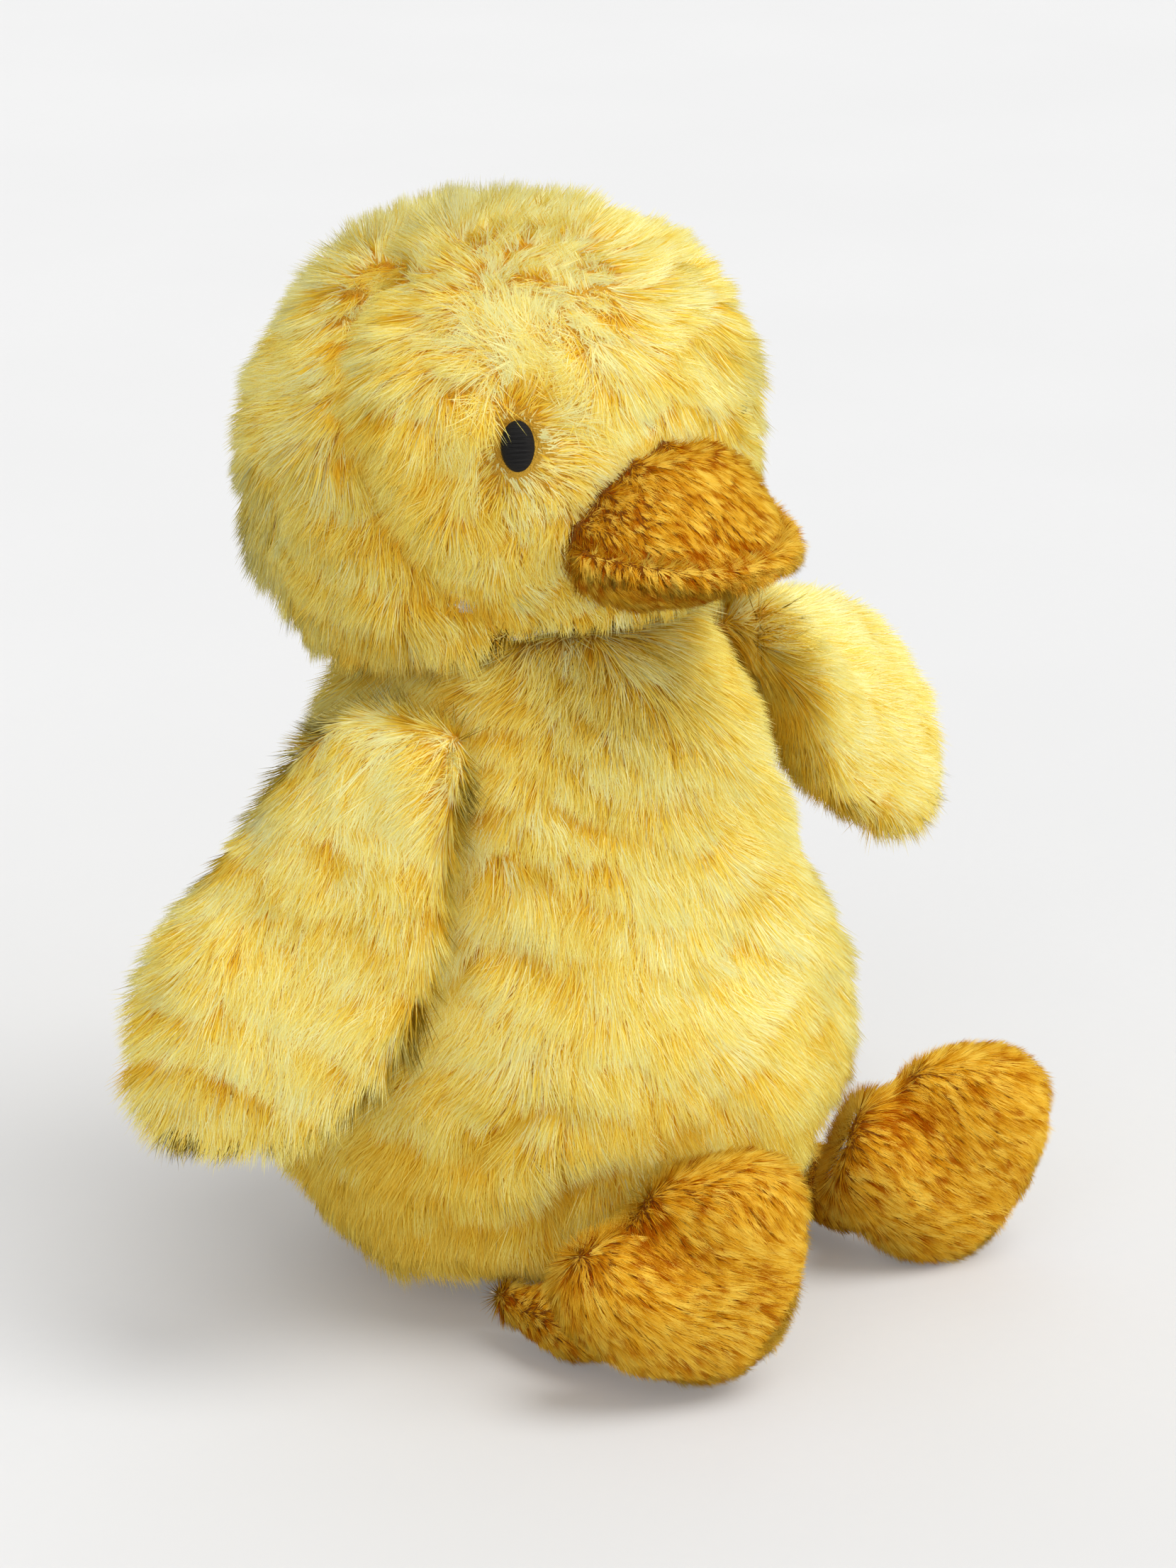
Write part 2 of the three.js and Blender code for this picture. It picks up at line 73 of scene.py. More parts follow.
def addCamera(view):
    right, back = viewAxes(view["azimuth"], view["elevation"])
    data = bpy.data.cameras.new("camera")
    data.lens, data.sensor_width, data.sensor_fit = view["lens"], 36, "AUTO"
    data.clip_start, data.clip_end = 0.01, 60
    camera = bpy.data.objects.new("camera", data)
    camera.location = Vector(view["target"]) + back * view["distance"]
    camera.rotation_mode = "QUATERNION"
    camera.rotation_quaternion = (-back).to_track_quat("-Z", "Y")
    scene.collection.objects.link(camera)
    scene.camera = camera


addCamera(cameraView)


# numbers over whole arrays
def unit(v):
    return v / np.maximum(np.linalg.norm(v, axis=-1, keepdims=True), 1e-12)


def dot(a, b):
    return (a * b).sum(-1)


def distance(points, place):
    return np.linalg.norm(points - np.array(place), axis=1)


def ease(low, high, x):  # 0 below low, 1 above high, smooth between
    t = np.clip((x - low) / (high - low), 0, 1)
    return t * t * (3 - 2 * t)


def hump(gap, wide):  # bell curve, 1 in the middle
    return np.exp(-(gap / wide) ** 2)


def waves(points, seed, pitch):
    # seven sines with seeded directions and rates, added up: a smooth value of about -1 to 1
    rng, count = np.random.default_rng(seed), 7
    way = unit(rng.normal(size=(count, 3)))
    rate = 2 * math.pi / (pitch * rng.uniform(0.7, 1.6, (count, 1)))
    phase = rng.uniform(0, 2 * math.pi, count)
    return np.sin(points @ (way * rate).T + phase).sum(1) / math.sqrt(count * 0.9)


def drift(points, seed, pitch):  # the same, as a vector
    return np.stack([waves(points, seed + k, pitch) for k in range(3)], 1)


def scramble(key):
    key = (key ^ (key >> np.uint64(33))) * np.uint64(0xFF51AFD7ED558CCD)
    key = (key ^ (key >> np.uint64(33))) * np.uint64(0xC4CEB9FE1A85EC53)
    return key ^ (key >> np.uint64(33))


def tufts(points, pitch, seed):
    # one jittered point in each cube of side pitch; gives the nearest and three numbers of its own, 0 to 1
    cell = np.floor(points / pitch).astype(np.int64)
    primes = np.array([73856093, 19349663, 83492791])
    best = np.full(len(points), np.inf)
    near = np.zeros_like(points)
    own = np.zeros((len(points), 3))
    for step in itertools.product((-1, 0, 1), repeat=3):
        at = cell + np.array(step)
        key = (at * primes).sum(1) + seed * 7919
        key = scramble(key.astype(np.uint64))
        part = [((key >> np.uint64(10 * k)) & np.uint64(1023)).astype(float) / 1023 for k in range(6)]
        spot = (at + np.stack(part[:3], 1)) * pitch
        gap = ((points - spot) ** 2).sum(1)
        win = gap < best
        best[win], near[win] = gap[win], spot[win]
        own[win] = np.stack(part[3:], 1)[win]
    return near, own


def newPiece(name, mesh, body, material):
    piece = bpy.data.objects.new(name, mesh)
    scene.collection.objects.link(piece)
    mesh.materials.clear()
    mesh.materials.append(material)
    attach(piece, body)
    return piece


def coordsOf(mesh, what="vertices", field="co"):
    found = np.empty(len(getattr(mesh, what)) * 3, np.float32)
    getattr(mesh, what).foreach_get(field, found)
    return found.reshape(-1, 3).astype(float)


def putPoints(mesh, points):
    mesh.vertices.foreach_set("co", points.astype(np.float32).ravel())
    mesh.update()


def edgeEnds(mesh):
    ends = np.empty(len(mesh.edges) * 2, np.int32)
    mesh.edges.foreach_get("vertices", ends)
    return ends.reshape(-1, 2).T


def smooth(mesh):
    mesh.polygons.foreach_set("use_smooth", np.ones(len(mesh.polygons), bool))


# shader node groups
def makeGroup(name, inputs, outputs):
    group = bpy.data.node_groups.new(name, "ShaderNodeTree")
    for label, kind, value in inputs:
        group.interface.new_socket(label, in_out="INPUT", socket_type=kind).default_value = value
    for label, kind in outputs:
        group.interface.new_socket(label, in_out="OUTPUT", socket_type=kind)
    return group, group.nodes.new("NodeGroupInput"), group.nodes.new("NodeGroupOutput")


def mapRange(tree, source, low, high, toLow, toHigh, smooth=True):
    node = tree.nodes.new("ShaderNodeMapRange")
    node.interpolation_type = "SMOOTHSTEP" if smooth else "LINEAR"
    for label, value in (("From Min", low), ("From Max", high), ("To Min", toLow), ("To Max", toHigh)):
        node.inputs[label].default_value = value
    tree.links.new(source, node.inputs["Value"])
    return node.outputs["Result"]


def mixColour(tree, factor, a, b, kind="MIX"):
    node = tree.nodes.new("ShaderNodeMix")
    node.data_type, node.blend_type = "RGBA", kind
    for socket, value in ((node.inputs[0], factor), (node.inputs[6], a), (node.inputs[7], b)):
        if hasattr(value, "links"):
            tree.links.new(value, socket)
        else:
            socket.default_value = value
    return node.outputs[2]


def pileGroup():
    # colour of one hair: root to tip along it, and a tone of its own, which also carries painted light and
    # shade
    colour = "NodeSocketColor"
    group, given, out = makeGroup("pile colour", [
        ("Along", "NodeSocketFloat", 0.5), ("Tone", "NodeSocketFloat", 0.5),
        ("Root", colour, (0, 0, 0, 1)), ("Middle", colour, (0, 0, 0, 1)), ("Tip", colour, (1, 1, 1, 1)),
        ("Deep", colour, (0.5, 0.4, 0.3, 1)), ("Pale", colour, (1, 1, 1, 1)),
    ], [("Colour", colour)])
    low = mapRange(group, given.outputs["Along"], 0.0, 0.55, 0, 1)
    high = mapRange(group, given.outputs["Along"], 0.4, 1.0, 0, 1)
    grown = mixColour(group, low, given.outputs["Root"], given.outputs["Middle"])
    grown = mixColour(group, high, grown, given.outputs["Tip"])
    dark = mapRange(group, given.outputs["Tone"], 0.5, 0.0, 0, 1, False)
    light = mapRange(group, given.outputs["Tone"], 0.5, 1.0, 0, 1, False)
    grown = mixColour(group, dark, grown, mixColour(group, 1.0, grown, given.outputs["Deep"], "MULTIPLY"))
    grown = mixColour(group, light, grown, given.outputs["Pale"])
    group.links.new(grown, out.inputs["Colour"])
    return group


def mottleGroup():
    # cloudy colour with fine grain on it, and the grain's height
    colour = "NodeSocketColor"
    group, given, out = makeGroup("mottle", [
        ("Light", colour, (1, 1, 1, 1)), ("Dark", colour, (0, 0, 0, 1)),
        ("Clouds", "NodeSocketFloat", 60.0), ("Grain", "NodeSocketFloat", 1500.0),
    ], [("Colour", colour), ("Height", "NodeSocketFloat")])
    place = group.nodes.new("ShaderNodeTexCoord").outputs["Object"]
    found = []
    for label, detail in (("Clouds", 3.0), ("Grain", 2.0)):
        noise = group.nodes.new("ShaderNodeTexNoise")
        noise.inputs["Detail"].default_value = detail
        group.links.new(place, noise.inputs["Vector"])
        group.links.new(given.outputs[label], noise.inputs["Scale"])
        found.append(noise.outputs["Fac"])
    cloud = mapRange(group, found[0], 0.3, 0.7, 0, 1)
    grain = mapRange(group, found[1], 0.3, 0.7, 0, 1)
    mixed = mixColour(group, cloud, given.outputs["Dark"], given.outputs["Light"])
    mixed = mixColour(group, grain, mixColour(group, 0.35, mixed, given.outputs["Dark"]), mixed)
    group.links.new(mixed, out.inputs["Colour"])
    group.links.new(grain, out.inputs["Height"])
    return group


pileColour = pileGroup()
mottle = mottleGroup()


def srgb(r, g, b):
    shares = (r / 255, g / 255, b / 255)
    linear = [c / 12.92 if c <= 0.04045 else ((c + 0.055) / 1.055) ** 2.4 for c in shares]
    return (*linear, 1)


def startMaterial(name, roughness, specular=0.2):
    material = bpy.data.materials.new(name)
    material.use_nodes = True
    shader = material.node_tree.nodes["Principled BSDF"]
    shader.inputs["Roughness"].default_value = roughness
    shader.inputs["Specular IOR Level"].default_value = specular
    return material, material.node_tree, shader


def pileMaterial(name, look):
    # no shine, because light spreads evenly in open pile
    material, tree, shader = startMaterial(name, look["roughness"], 0.0)
    uv = tree.nodes.new("ShaderNodeUVMap")
    uv.uv_map = "OFBake"
    split = tree.nodes.new("ShaderNodeSeparateXYZ")
    tree.links.new(uv.outputs["UV"], split.inputs[0])
    group = tree.nodes.new("ShaderNodeGroup")
    group.node_tree = pileColour
    tree.links.new(split.outputs["X"], group.inputs["Tone"])
    tree.links.new(split.outputs["Y"], group.inputs["Along"])
    for label in ("root", "middle", "tip", "deep", "pale"):
        group.inputs[label.capitalize()].default_value = look[label]
    tree.links.new(group.outputs["Colour"], shader.inputs["Base Color"])
    return material


def addRelief(tree, shader, height, look):
    relief = tree.nodes.new("ShaderNodeBump")
    relief.inputs["Strength"].default_value = look["strength"]
    relief.inputs["Distance"].default_value = look["relief"]
    tree.links.new(height, relief.inputs["Height"])
    tree.links.new(relief.outputs["Normal"], shader.inputs["Normal"])


def mottledMaterial(name, look):
    material, tree, shader = startMaterial(name, look["roughness"])
    group = tree.nodes.new("ShaderNodeGroup")
    group.node_tree = mottle
    for label in ("light", "dark", "clouds", "grain"):
        group.inputs[label.capitalize()].default_value = look[label]
    tree.links.new(group.outputs["Colour"], shader.inputs["Base Color"])
    addRelief(tree, shader, group.outputs["Height"], look)
    return material


yellowPile = pileMaterial("yellow pile", {
    "root": srgb(222, 156, 24), "middle": srgb(250, 214, 70), "tip": srgb(255, 240, 126),
    "deep": srgb(234, 196, 94), "pale": srgb(255, 250, 184), "roughness": 0.8,
})
ochrePile = pileMaterial("ochre pile", {
    "root": srgb(112, 56, 2), "middle": srgb(224, 156, 16), "tip": srgb(250, 196, 52),
    "deep": srgb(186, 122, 50), "pale": srgb(255, 216, 90), "roughness": 0.8,
})
yellowBacking = mottledMaterial("yellow backing", {
    "light": srgb(222, 174, 62), "dark": srgb(204, 150, 42), "clouds": 90, "grain": 2600,
    "roughness": 0.95, "strength": 0.6, "relief": 0.0006,
})
ochreBacking = mottledMaterial("ochre backing", {
    "light": srgb(150, 92, 14), "dark": srgb(124, 72, 10), "clouds": 120, "grain": 2600,
    "roughness": 0.95, "strength": 0.6, "relief": 0.0005,
})
fibreWhite = mottledMaterial("loose fibre", {
    "light": srgb(240, 238, 230), "dark": srgb(216, 212, 200), "clouds": 140, "grain": 1800,
    "roughness": 0.95, "strength": 0.8, "relief": 0.001,
})
pouchCloth = mottledMaterial("pouch cloth", {
    "light": srgb(234, 224, 198), "dark": srgb(206, 192, 160), "clouds": 200, "grain": 2400,
    "roughness": 0.9, "strength": 0.5, "relief": 0.0004,
})
pelletWhite = mottledMaterial("pellets", {
    "light": srgb(240, 238, 230), "dark": srgb(200, 196, 184), "clouds": 420, "grain": 900,
    "roughness": 0.5, "strength": 0.9, "relief": 0.0015,
})
sewingThread = mottledMaterial("sewing thread", {
    "light": srgb(224, 186, 84), "dark": srgb(178, 136, 48), "clouds": 900, "grain": 5200,
    "roughness": 0.7, "strength": 0.7, "relief": 0.0002,
})

innerFinish = {
    "stuffing": fibreWhite, "pouch": pouchCloth, "fill": pelletWhite,
    "stitch": sewingThread, "thread": sewingThread,
}
for name, node in nodes.items():
    finish = innerFinish.get(name.split("_")[-1])
    if finish:
        node.data.materials.clear()
        node.data.materials.append(finish)
print("materials made:", len(bpy.data.materials))


# stuffed covers, puffed by cloth pressure
def coverMesh(spec):
    # copies of the panels and their filling, remeshed to one skin; only its largest island is kept
    joined = bmesh.new()
    for name in spec["panels"] + spec["filling"]:
        joined.from_mesh(nodes[name].data)
    bmesh.ops.remove_doubles(joined, verts=joined.verts, dist=1e-6)
    mesh = bpy.data.meshes.new(spec["name"])
    joined.to_mesh(mesh)
    joined.free()
    scratch = bpy.data.objects.new("scratch", mesh)
    scene.collection.objects.link(scratch)
    remesh = scratch.modifiers.new("remesh", "REMESH")
    remesh.mode, remesh.voxel_size, remesh.use_smooth_shade = "VOXEL", spec["voxel"], True
    made = bpy.data.meshes.new_from_object(scratch.evaluated_get(bpy.context.evaluated_depsgraph_get()))
    bpy.data.objects.remove(scratch)
    made.name = spec["name"]
    return largestIsland(made)


def largestIsland(mesh):
    # each point takes the lowest number among its neighbours until nothing changes, so islands share one
    a, b = edgeEnds(mesh)
    label = np.arange(len(mesh.vertices))
    while True:
        low = np.minimum(label[a], label[b])
        fresh = label.copy()
        np.minimum.at(fresh, a, low)
        np.minimum.at(fresh, b, low)
        fresh = fresh[fresh]
        if (fresh == label).all():
            break
        label = fresh
    names, sizes = np.unique(label, return_counts=True)
    keep = names[sizes.argmax()]
    work = bmesh.new()
    work.from_mesh(mesh)
    work.verts.ensure_lookup_table()
    bmesh.ops.delete(work, geom=[work.verts[i] for i in np.flatnonzero(label != keep)], context="VERTS")
    work.to_mesh(mesh)
    work.free()
    return mesh


def relaxed(mesh, points, times):
    # each point moves half way to the mean of its neighbours
    a, b = edgeEnds(mesh)
    near = np.bincount(np.r_[a, b], minlength=len(points))[:, None]
    for _ in range(times):
        total = np.stack([np.bincount(np.r_[a, b], np.r_[points[b, k], points[a, k]], len(points))
                          for k in range(3)], 1)
        points = points + 0.5 * (total / np.maximum(near, 1) - points)
    return points


def drawnIn(mesh, inset):
    # every point goes in along its normal by inset, or by a third of the thickness where that is less
    tree = BVHTree.FromPolygons([v.co for v in mesh.vertices], [p.vertices for p in mesh.polygons])
    points, normals = coordsOf(mesh), coordsOf(mesh, "vertices", "normal")
    depth = np.full(len(points), 1.0)
    for i, (p, n) in enumerate(zip(points, normals)):
        hit = tree.ray_cast(Vector(p - n * 1e-4), Vector(-n))
        if hit[0] is not None:
            depth[i] = hit[3]
    step = np.minimum(inset(points) if callable(inset) else inset, depth / 3)
    return points - normals * step[:, None]


puff = {"pressure": 4.0, "mass": 0.15, "frames": 20}
lumpShare = 0.4  # height of the stuffing's lumps, as a share of how far a cover may puff
floorGap = {"cover": 0.0006, "hair": 0.0003}


def puffed(piece, cap):
    # cloth with air pressure and no gravity; no point ends further than cap from its start
    start = coordsOf(piece.data)
    cloth = piece.modifiers.new("puff", "CLOTH")
    cloth.settings.use_pressure = True
    cloth.settings.uniform_pressure_force = puff["pressure"]
    cloth.settings.effector_weights.gravity = 0
    cloth.settings.mass = puff["mass"]
    for f in range(1, puff["frames"] + 1):
        scene.frame_set(f)
    end = coordsOf(piece.evaluated_get(bpy.context.evaluated_depsgraph_get()).data)
    piece.modifiers.remove(cloth)
    scene.frame_set(1)
    step = end - start
    size = np.linalg.norm(step, axis=1, keepdims=True)
    putPoints(piece.data, start + step * np.minimum(1, cap / np.maximum(size, 1e-9)))


def softCover(spec, material):
    mesh = coverMesh(spec)
    putPoints(mesh, relaxed(mesh, coordsOf(mesh), spec.get("relax", 3)))
    putPoints(mesh, drawnIn(mesh, spec["inset"]))
    putPoints(mesh, relaxed(mesh, coordsOf(mesh), 2))
    piece = newPiece(spec["name"], mesh, spec["body"], material)
    puffed(piece, spec["cap"])
    points, normals = coordsOf(mesh), coordsOf(mesh, "vertices", "normal")
    lumps = spec["cap"] * lumpShare * waves(points, spec["seed"], spec.get("lumps", 0.03))
    points = points + normals * lumps[:, None]
    if "shape" in spec:
        points = spec["shape"](points, normals)
    points[:, 2] = np.maximum(points[:, 2], floorGap["cover"])
    putPoints(mesh, points)
    smooth(mesh)
    subdivision = piece.modifiers.new("subdivision", "SUBSURF")
    subdivision.levels = subdivision.render_levels = 1
    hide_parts(*spec["panels"])
    print("cover", spec["name"], len(mesh.vertices), "points")
    return piece


# places that the covers and the pile share
neck = np.array(joints["neck_nod"]["pos_m"])
headCentre = np.array([0.00187, 0.01393, 0.13884])
facing = np.array([-0.2079, -0.9781, 0.0])
sideways = np.array([0.9781, -0.2079, 0.0])  # the chick's left
upward = np.array([0, 0, 1.0])
billBase = headCentre + facing * 0.0425 - upward * 0.0055  # on the face, at the height of the lip
crownSeam = {"through": headCentre + facing * 0.0137, "tilt": -31, "deep": 0.0026, "wide": 0.0042}
seamTilt = math.radians(crownSeam["tilt"])
crownAcross = -facing * math.cos(seamTilt) + upward * math.sin(seamTilt)


def middleOf(name):
    low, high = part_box(name)
    return (np.array(low) + np.array(high)) / 2


eyes = {word: middleOf("eye_" + word) for word in bothSides}


def wingFrame(word):  # the hinge, the way along the wing, and the way from its inner to its outer side
    outer, inner = middleOf(f"wing_{word}_outer"), middleOf(f"wing_{word}_inner")
    hinge = np.array(joints[f"wing_{word}_lift"]["pos_m"])
    return hinge, unit((outer + inner) / 2 - hinge), unit(outer - inner)


def crownGap(points):  # distance from the seam over the crown
    return (points - crownSeam["through"]) @ crownAcross


tierForm = {"bend": 0.5, "bendPitch": 0.05, "ripple": 0.16, "ripplePitch": 0.016,
            "shown": 0.4, "patches": 0.9, "patchPitch": 0.03, "edge": (0.0, 0.22), "bare": (0.68, 0.95)}


def tiers(points, along, pitch, seed):
    # phase of a tier of pile, 0 at its free edge and 1 under the next one, and how much it shows there
    bend = tierForm["bend"] * waves(points, seed, tierForm["bendPitch"])
    ripple = tierForm["ripple"] * waves(points, seed + 3, tierForm["ripplePitch"])
    patches = tierForm["patches"] * waves(points, seed + 5, tierForm["patchPitch"])
    return (along / pitch + bend + ripple) % 1, np.clip(tierForm["shown"] + patches, 0, 1)


bellyFolds = {"top": 0.079, "pitch": 0.0172, "deep": 0.0022, "fromZ": (0.014, 0.03), "toZ": (0.09, 0.102)}
flank = {"at": (0.046, -0.016, 0.064), "wide": 0.03, "full": 0.0024}  # fuller beside the left wing


def bellyTiers(points):
    z = points[:, 2]
    phase, strength = tiers(points, z - bellyFolds["top"], bellyFolds["pitch"], 41)
    return phase, strength * ease(*bellyFolds["fromZ"], z) * (1 - ease(*bellyFolds["toZ"], z))


def foldedBelly(points, normals):  # in under each tier and at its free edge
    phase, strength = bellyTiers(points)
    dip = ease(0.5, 0.95, phase) + 1 - ease(0.0, 0.08, phase)
    fuller = flank["full"] * hump(distance(points, flank["at"]), flank["wide"])
    return points - normals * (bellyFolds["deep"] * dip * strength - fuller)[:, None]


eyeDimple = {"deep": {"left": 0.0034, "right": 0.001}, "wide": 0.0055}
crownLean = {"by": 0.0032, "over": 0.036}  # the crown leans over the face


def seamedHead(points, normals):
    dip = crownSeam["deep"] * hump(crownGap(points), crownSeam["wide"])
    for word, eye in eyes.items():
        dip = dip + eyeDimple["deep"][word] * hump(distance(points, eye), eyeDimple["wide"])
    forward = crownLean["by"] * ease(headCentre[2], headCentre[2] + crownLean["over"], points[:, 2])
    return points - normals * dip[:, None] + forward[:, None] * facing


drawIn = {"least": 0.001, "more": 0.0022, "fromNeck": (0.0425, 0.05), "ballZ": (0.108, 0.116)}


def headInset(points):  # little at the cup over the neck
    return drawIn["least"] + drawIn["more"] * ease(*drawIn["fromNeck"], distance(points, neck))


def torsoInset(points):  # little at the ball inside the head
    return drawIn["least"] + drawIn["more"] * (1 - ease(*drawIn["ballZ"], points[:, 2]))


wingRoot = {"full": 0.003, "raised": 0.004, "reach": 0.034}


def rootedWing(word):
    # fuller at the shoulder and drawn up towards the head, so that the wing grows out of the body
    hinge, along, _ = wingFrame(word)

    def shape(points, normals):
        near = (1 - ease(0.0, wingRoot["reach"], (points - hinge) @ along))[:, None]
        return points + normals * wingRoot["full"] * near + upward * wingRoot["raised"] * near
    return shape


torsoCover = softCover({
    "name": "body_cover", "body": "torso", "filling": ["body_stuffing"],
    "panels": ["belly_panel", "back_panel_left", "back_panel_right", "seat_panel"],
    "voxel": 0.0045, "inset": torsoInset, "cap": 0.0016, "fill": 0.75, "seed": 3, "shape": foldedBelly,
}, yellowBacking)
headCover = softCover({
    "name": "head_cover", "body": "head", "filling": ["head_stuffing"],
    "panels": ["face_panel", "head_back_panel"],
    "voxel": 0.0042, "inset": headInset, "cap": 0.0014, "fill": 0.8, "seed": 5, "shape": seamedHead,
}, yellowBacking)
wingCovers = {word: softCover({
    "name": f"wing_{word}_cover", "body": f"wing_{word}", "filling": [f"wing_{word}_stuffing"],
    "panels": [f"wing_{word}_outer", f"wing_{word}_inner"],
    "voxel": 0.003, "inset": 0.0028, "cap": 0.0012, "fill": 0.55, "seed": 7, "relax": 2,
    "shape": rootedWing(word),
}, yellowBacking) for word in bothSides}


billRoot = {"deep": 0.005, "turn": (-0.1, -0.6)}


def rootedBill(points, normals):
    # the side that turns back goes further, so that the bill ends inside the face
    root = ease(*billRoot["turn"], normals @ facing)
    return points - facing * (billRoot["deep"] * root)[:, None]


billCover = softCover({
    "name": "bill_cover", "body": "head", "filling": ["bill_stuffing"],
    "panels": ["upper_bill", "lower_bill"],
    "voxel": 0.0018, "inset": 0.0006, "cap": 0.0006, "fill": 0.8, "seed": 11, "relax": 2, "lumps": 0.018,
    "shape": rootedBill,
}, ochreBacking)
legCovers = {word: softCover({
    "name": f"leg_{word}_cover", "body": f"leg_{word}", "filling": [f"leg_{word}_stuffing"],
    "panels": [f"leg_{word}_tube"],
    "voxel": 0.002, "inset": 0.001, "cap": 0.0008, "fill": 0.6, "seed": 13, "relax": 2, "lumps": 0.02,
}, ochreBacking) for word in bothSides}
footForm = {  # a dent between the heel and the toes, and two low lobes beside it: places, heights and widths
    "left": {
        "dent": (0.0245, -0.051, 0.0295), "heel": (0.02, -0.046, 0.0245), "toes": (0.039, -0.06, 0.0325),
    },
    "right": {
        "dent": (-0.041, -0.0468, 0.0295), "heel": (-0.0475, -0.043, 0.0245),
        "toes": (-0.028, -0.0555, 0.033),
    },
    "rise": {"dent": -0.0009, "heel": 0.0013, "toes": 0.0013},
    "wide": {"dent": 0.006, "heel": 0.007, "toes": 0.009},
}


def footPart(word, part, points):
    return hump(distance(points, footForm[word][part]), footForm["wide"][part])


def lobedFoot(word):
    def shape(points, normals):
        rise = sum(high * footPart(word, part, points) for part, high in footForm["rise"].items())
        return points + normals * rise[:, None]
    return shape


footCovers = {word: softCover({
    "name": f"foot_{word}_cover", "body": f"foot_{word}", "filling": [f"foot_{word}_stuffing"],
    "panels": [f"foot_{word}_sole", f"foot_{word}_instep"],
    "voxel": 0.002, "inset": 0.001, "cap": 0.001, "fill": 0.75, "seed": 17, "relax": 2, "lumps": 0.02,
    "shape": lobedFoot(word),
}, ochreBacking) for word in bothSides}


closingThread = {"deep": 0.0042}  # the ladder stitches lie under the pile


def sunkStitches():
    mesh = nodes["closing_stitch"].data.copy()
    mesh.name = "closing_thread"
    points = coordsOf(mesh)
    putPoints(mesh, points - closingThread["deep"] * unit(points * np.array([1, 1, 0])))
    piece = newPiece("closing_thread", mesh, "torso", sewingThread)
    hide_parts("closing_stitch")


sunkStitches()


# pile, hair by hair
def rootsOn(piece, perSquareMm, seed):
    # random points on the finished cover, evenly by area, with its smooth normals
    mesh = piece.evaluated_get(bpy.context.evaluated_depsgraph_get()).to_mesh()
    mesh.calc_loop_triangles()
    corner = np.empty(len(mesh.loop_triangles) * 3, np.int32)
    mesh.loop_triangles.foreach_get("vertices", corner)
    points, normals = coordsOf(mesh), coordsOf(mesh, "vertices", "normal")
    corner = corner.reshape(-1, 3)
    p, n = points[corner], normals[corner]
    area = np.linalg.norm(np.cross(p[:, 1] - p[:, 0], p[:, 2] - p[:, 0]), axis=1) / 2
    rng = np.random.default_rng(seed)
    count = int(area.sum() / mm ** 2 * perSquareMm)
    pick = np.searchsorted(np.cumsum(area), rng.uniform(0, area.sum(), count))
    pick = np.minimum(pick, len(area) - 1)
    r, s = np.sqrt(rng.uniform(0, 1, count)), rng.uniform(0, 1, count)
    share = np.stack([1 - r, r * (1 - s), r * s], 1)[:, :, None]
    return (p[pick] * share).sum(1), unit((n[pick] * share).sum(1)), rng


def turned(way, normal, angle):  # way turned about normal
    angle = angle[:, None]
    return way * np.cos(angle) + np.cross(normal, way) * np.sin(angle)


looseHair = {"flow": (0.15, 0.55), "turn": 0.9, "lift": 16, "tone": 0.15}  # stands up where no way is clear
eachHair = {"lean": 4, "length": (0.86, 1.06), "wide": (0.75, 1.25)}  # how hairs differ from their neighbours
hairLimits = {"lift": (6, 80), "palest": 0.98}
# a shingle's tone: painted shade where it starts, a painted highlight where it ends
shingleStart = {"lift": -12, "tone": -0.3}
shingleEnd = {"lift": 14, "shorter": 0.3, "tone": 0.1}
hairRoot = 0.0004  # how deep a hair starts in its cover
bakeGrid = {"root": 0.02, "tip": 0.98, "wide": 0.004}  # a hair in its UV layer: tone across, root to tip up


def comb(hair, style, rng):
    # tufts of several sizes, each with its own turn, lean, length and tone; a shingled one lies flat with its
    # roots bare where it starts and is cut short and upright where it ends, with painted shade where it
    # starts and a painted highlight where it ends
    root, normal, wild = hair["root"], hair["normal"], hair["wild"]
    count = len(root)
    flow = hair["flow"] - normal * dot(hair["flow"], normal)[:, None]
    loose = 1 - ease(*looseHair["flow"], np.linalg.norm(flow, axis=1))
    flow = unit(flow)
    pull, shade = np.zeros_like(root), normal + hair["tilt"]
    turn = rng.normal(0, math.radians(style["stray"]), count)
    turn = turn + loose * rng.normal(0, looseHair["turn"], count)
    lift = hair["lift"] + rng.normal(0, eachHair["lean"], count) + looseHair["lift"] * loose
    length = hair["length"] * rng.uniform(*eachHair["length"], count)
    tone = hair["tone"] + rng.normal(0, style["hairTone"], count) + looseHair["tone"] * loose
    for k, (pitch, hold, swing, spread, shingle) in enumerate(style["tufts"]):
        near, own = tufts(root, pitch, style["seed"] + k)
        either = 2 * own - 1  # from -1 to 1
        gap = near - root
        gap = gap - normal * dot(gap, normal)[:, None]
        on = -dot(gap, flow) / pitch
        first, last = ease(0.0, 0.5, -on) * shingle, ease(0.1, 0.5, on) * shingle
        pull = pull + hold * gap
        turn = turn + math.radians(swing) * (1 + wild) * either[:, 0]
        lift = lift + style["leanSpread"] * (1 + wild) * either[:, 1] / (k + 1)
        lift = lift + shingleEnd["lift"] * last + shingleStart["lift"] * first
        length = length * (1 + style["lengthSpread"] * either[:, 2] / (k + 1))
        length = length * (1 - shingleEnd["shorter"] * last)
        tone = tone + spread * (own[:, 0] + own[:, 2] - 1)
        # painted highlight where a shingle ends, painted shade where it starts
        tone = tone + shingleEnd["tone"] * last + shingleStart["tone"] * first
        shade = shade - style["dome"] * shingle * gap / pitch
    lift, tone = np.clip(lift, *hairLimits["lift"]), np.clip(tone, style["darkest"], hairLimits["palest"])
    return {**hair, "flow": turned(flow, normal, turn), "lift": lift, "length": length, "tone": tone,
            "pull": pull, "shade": unit(shade)}


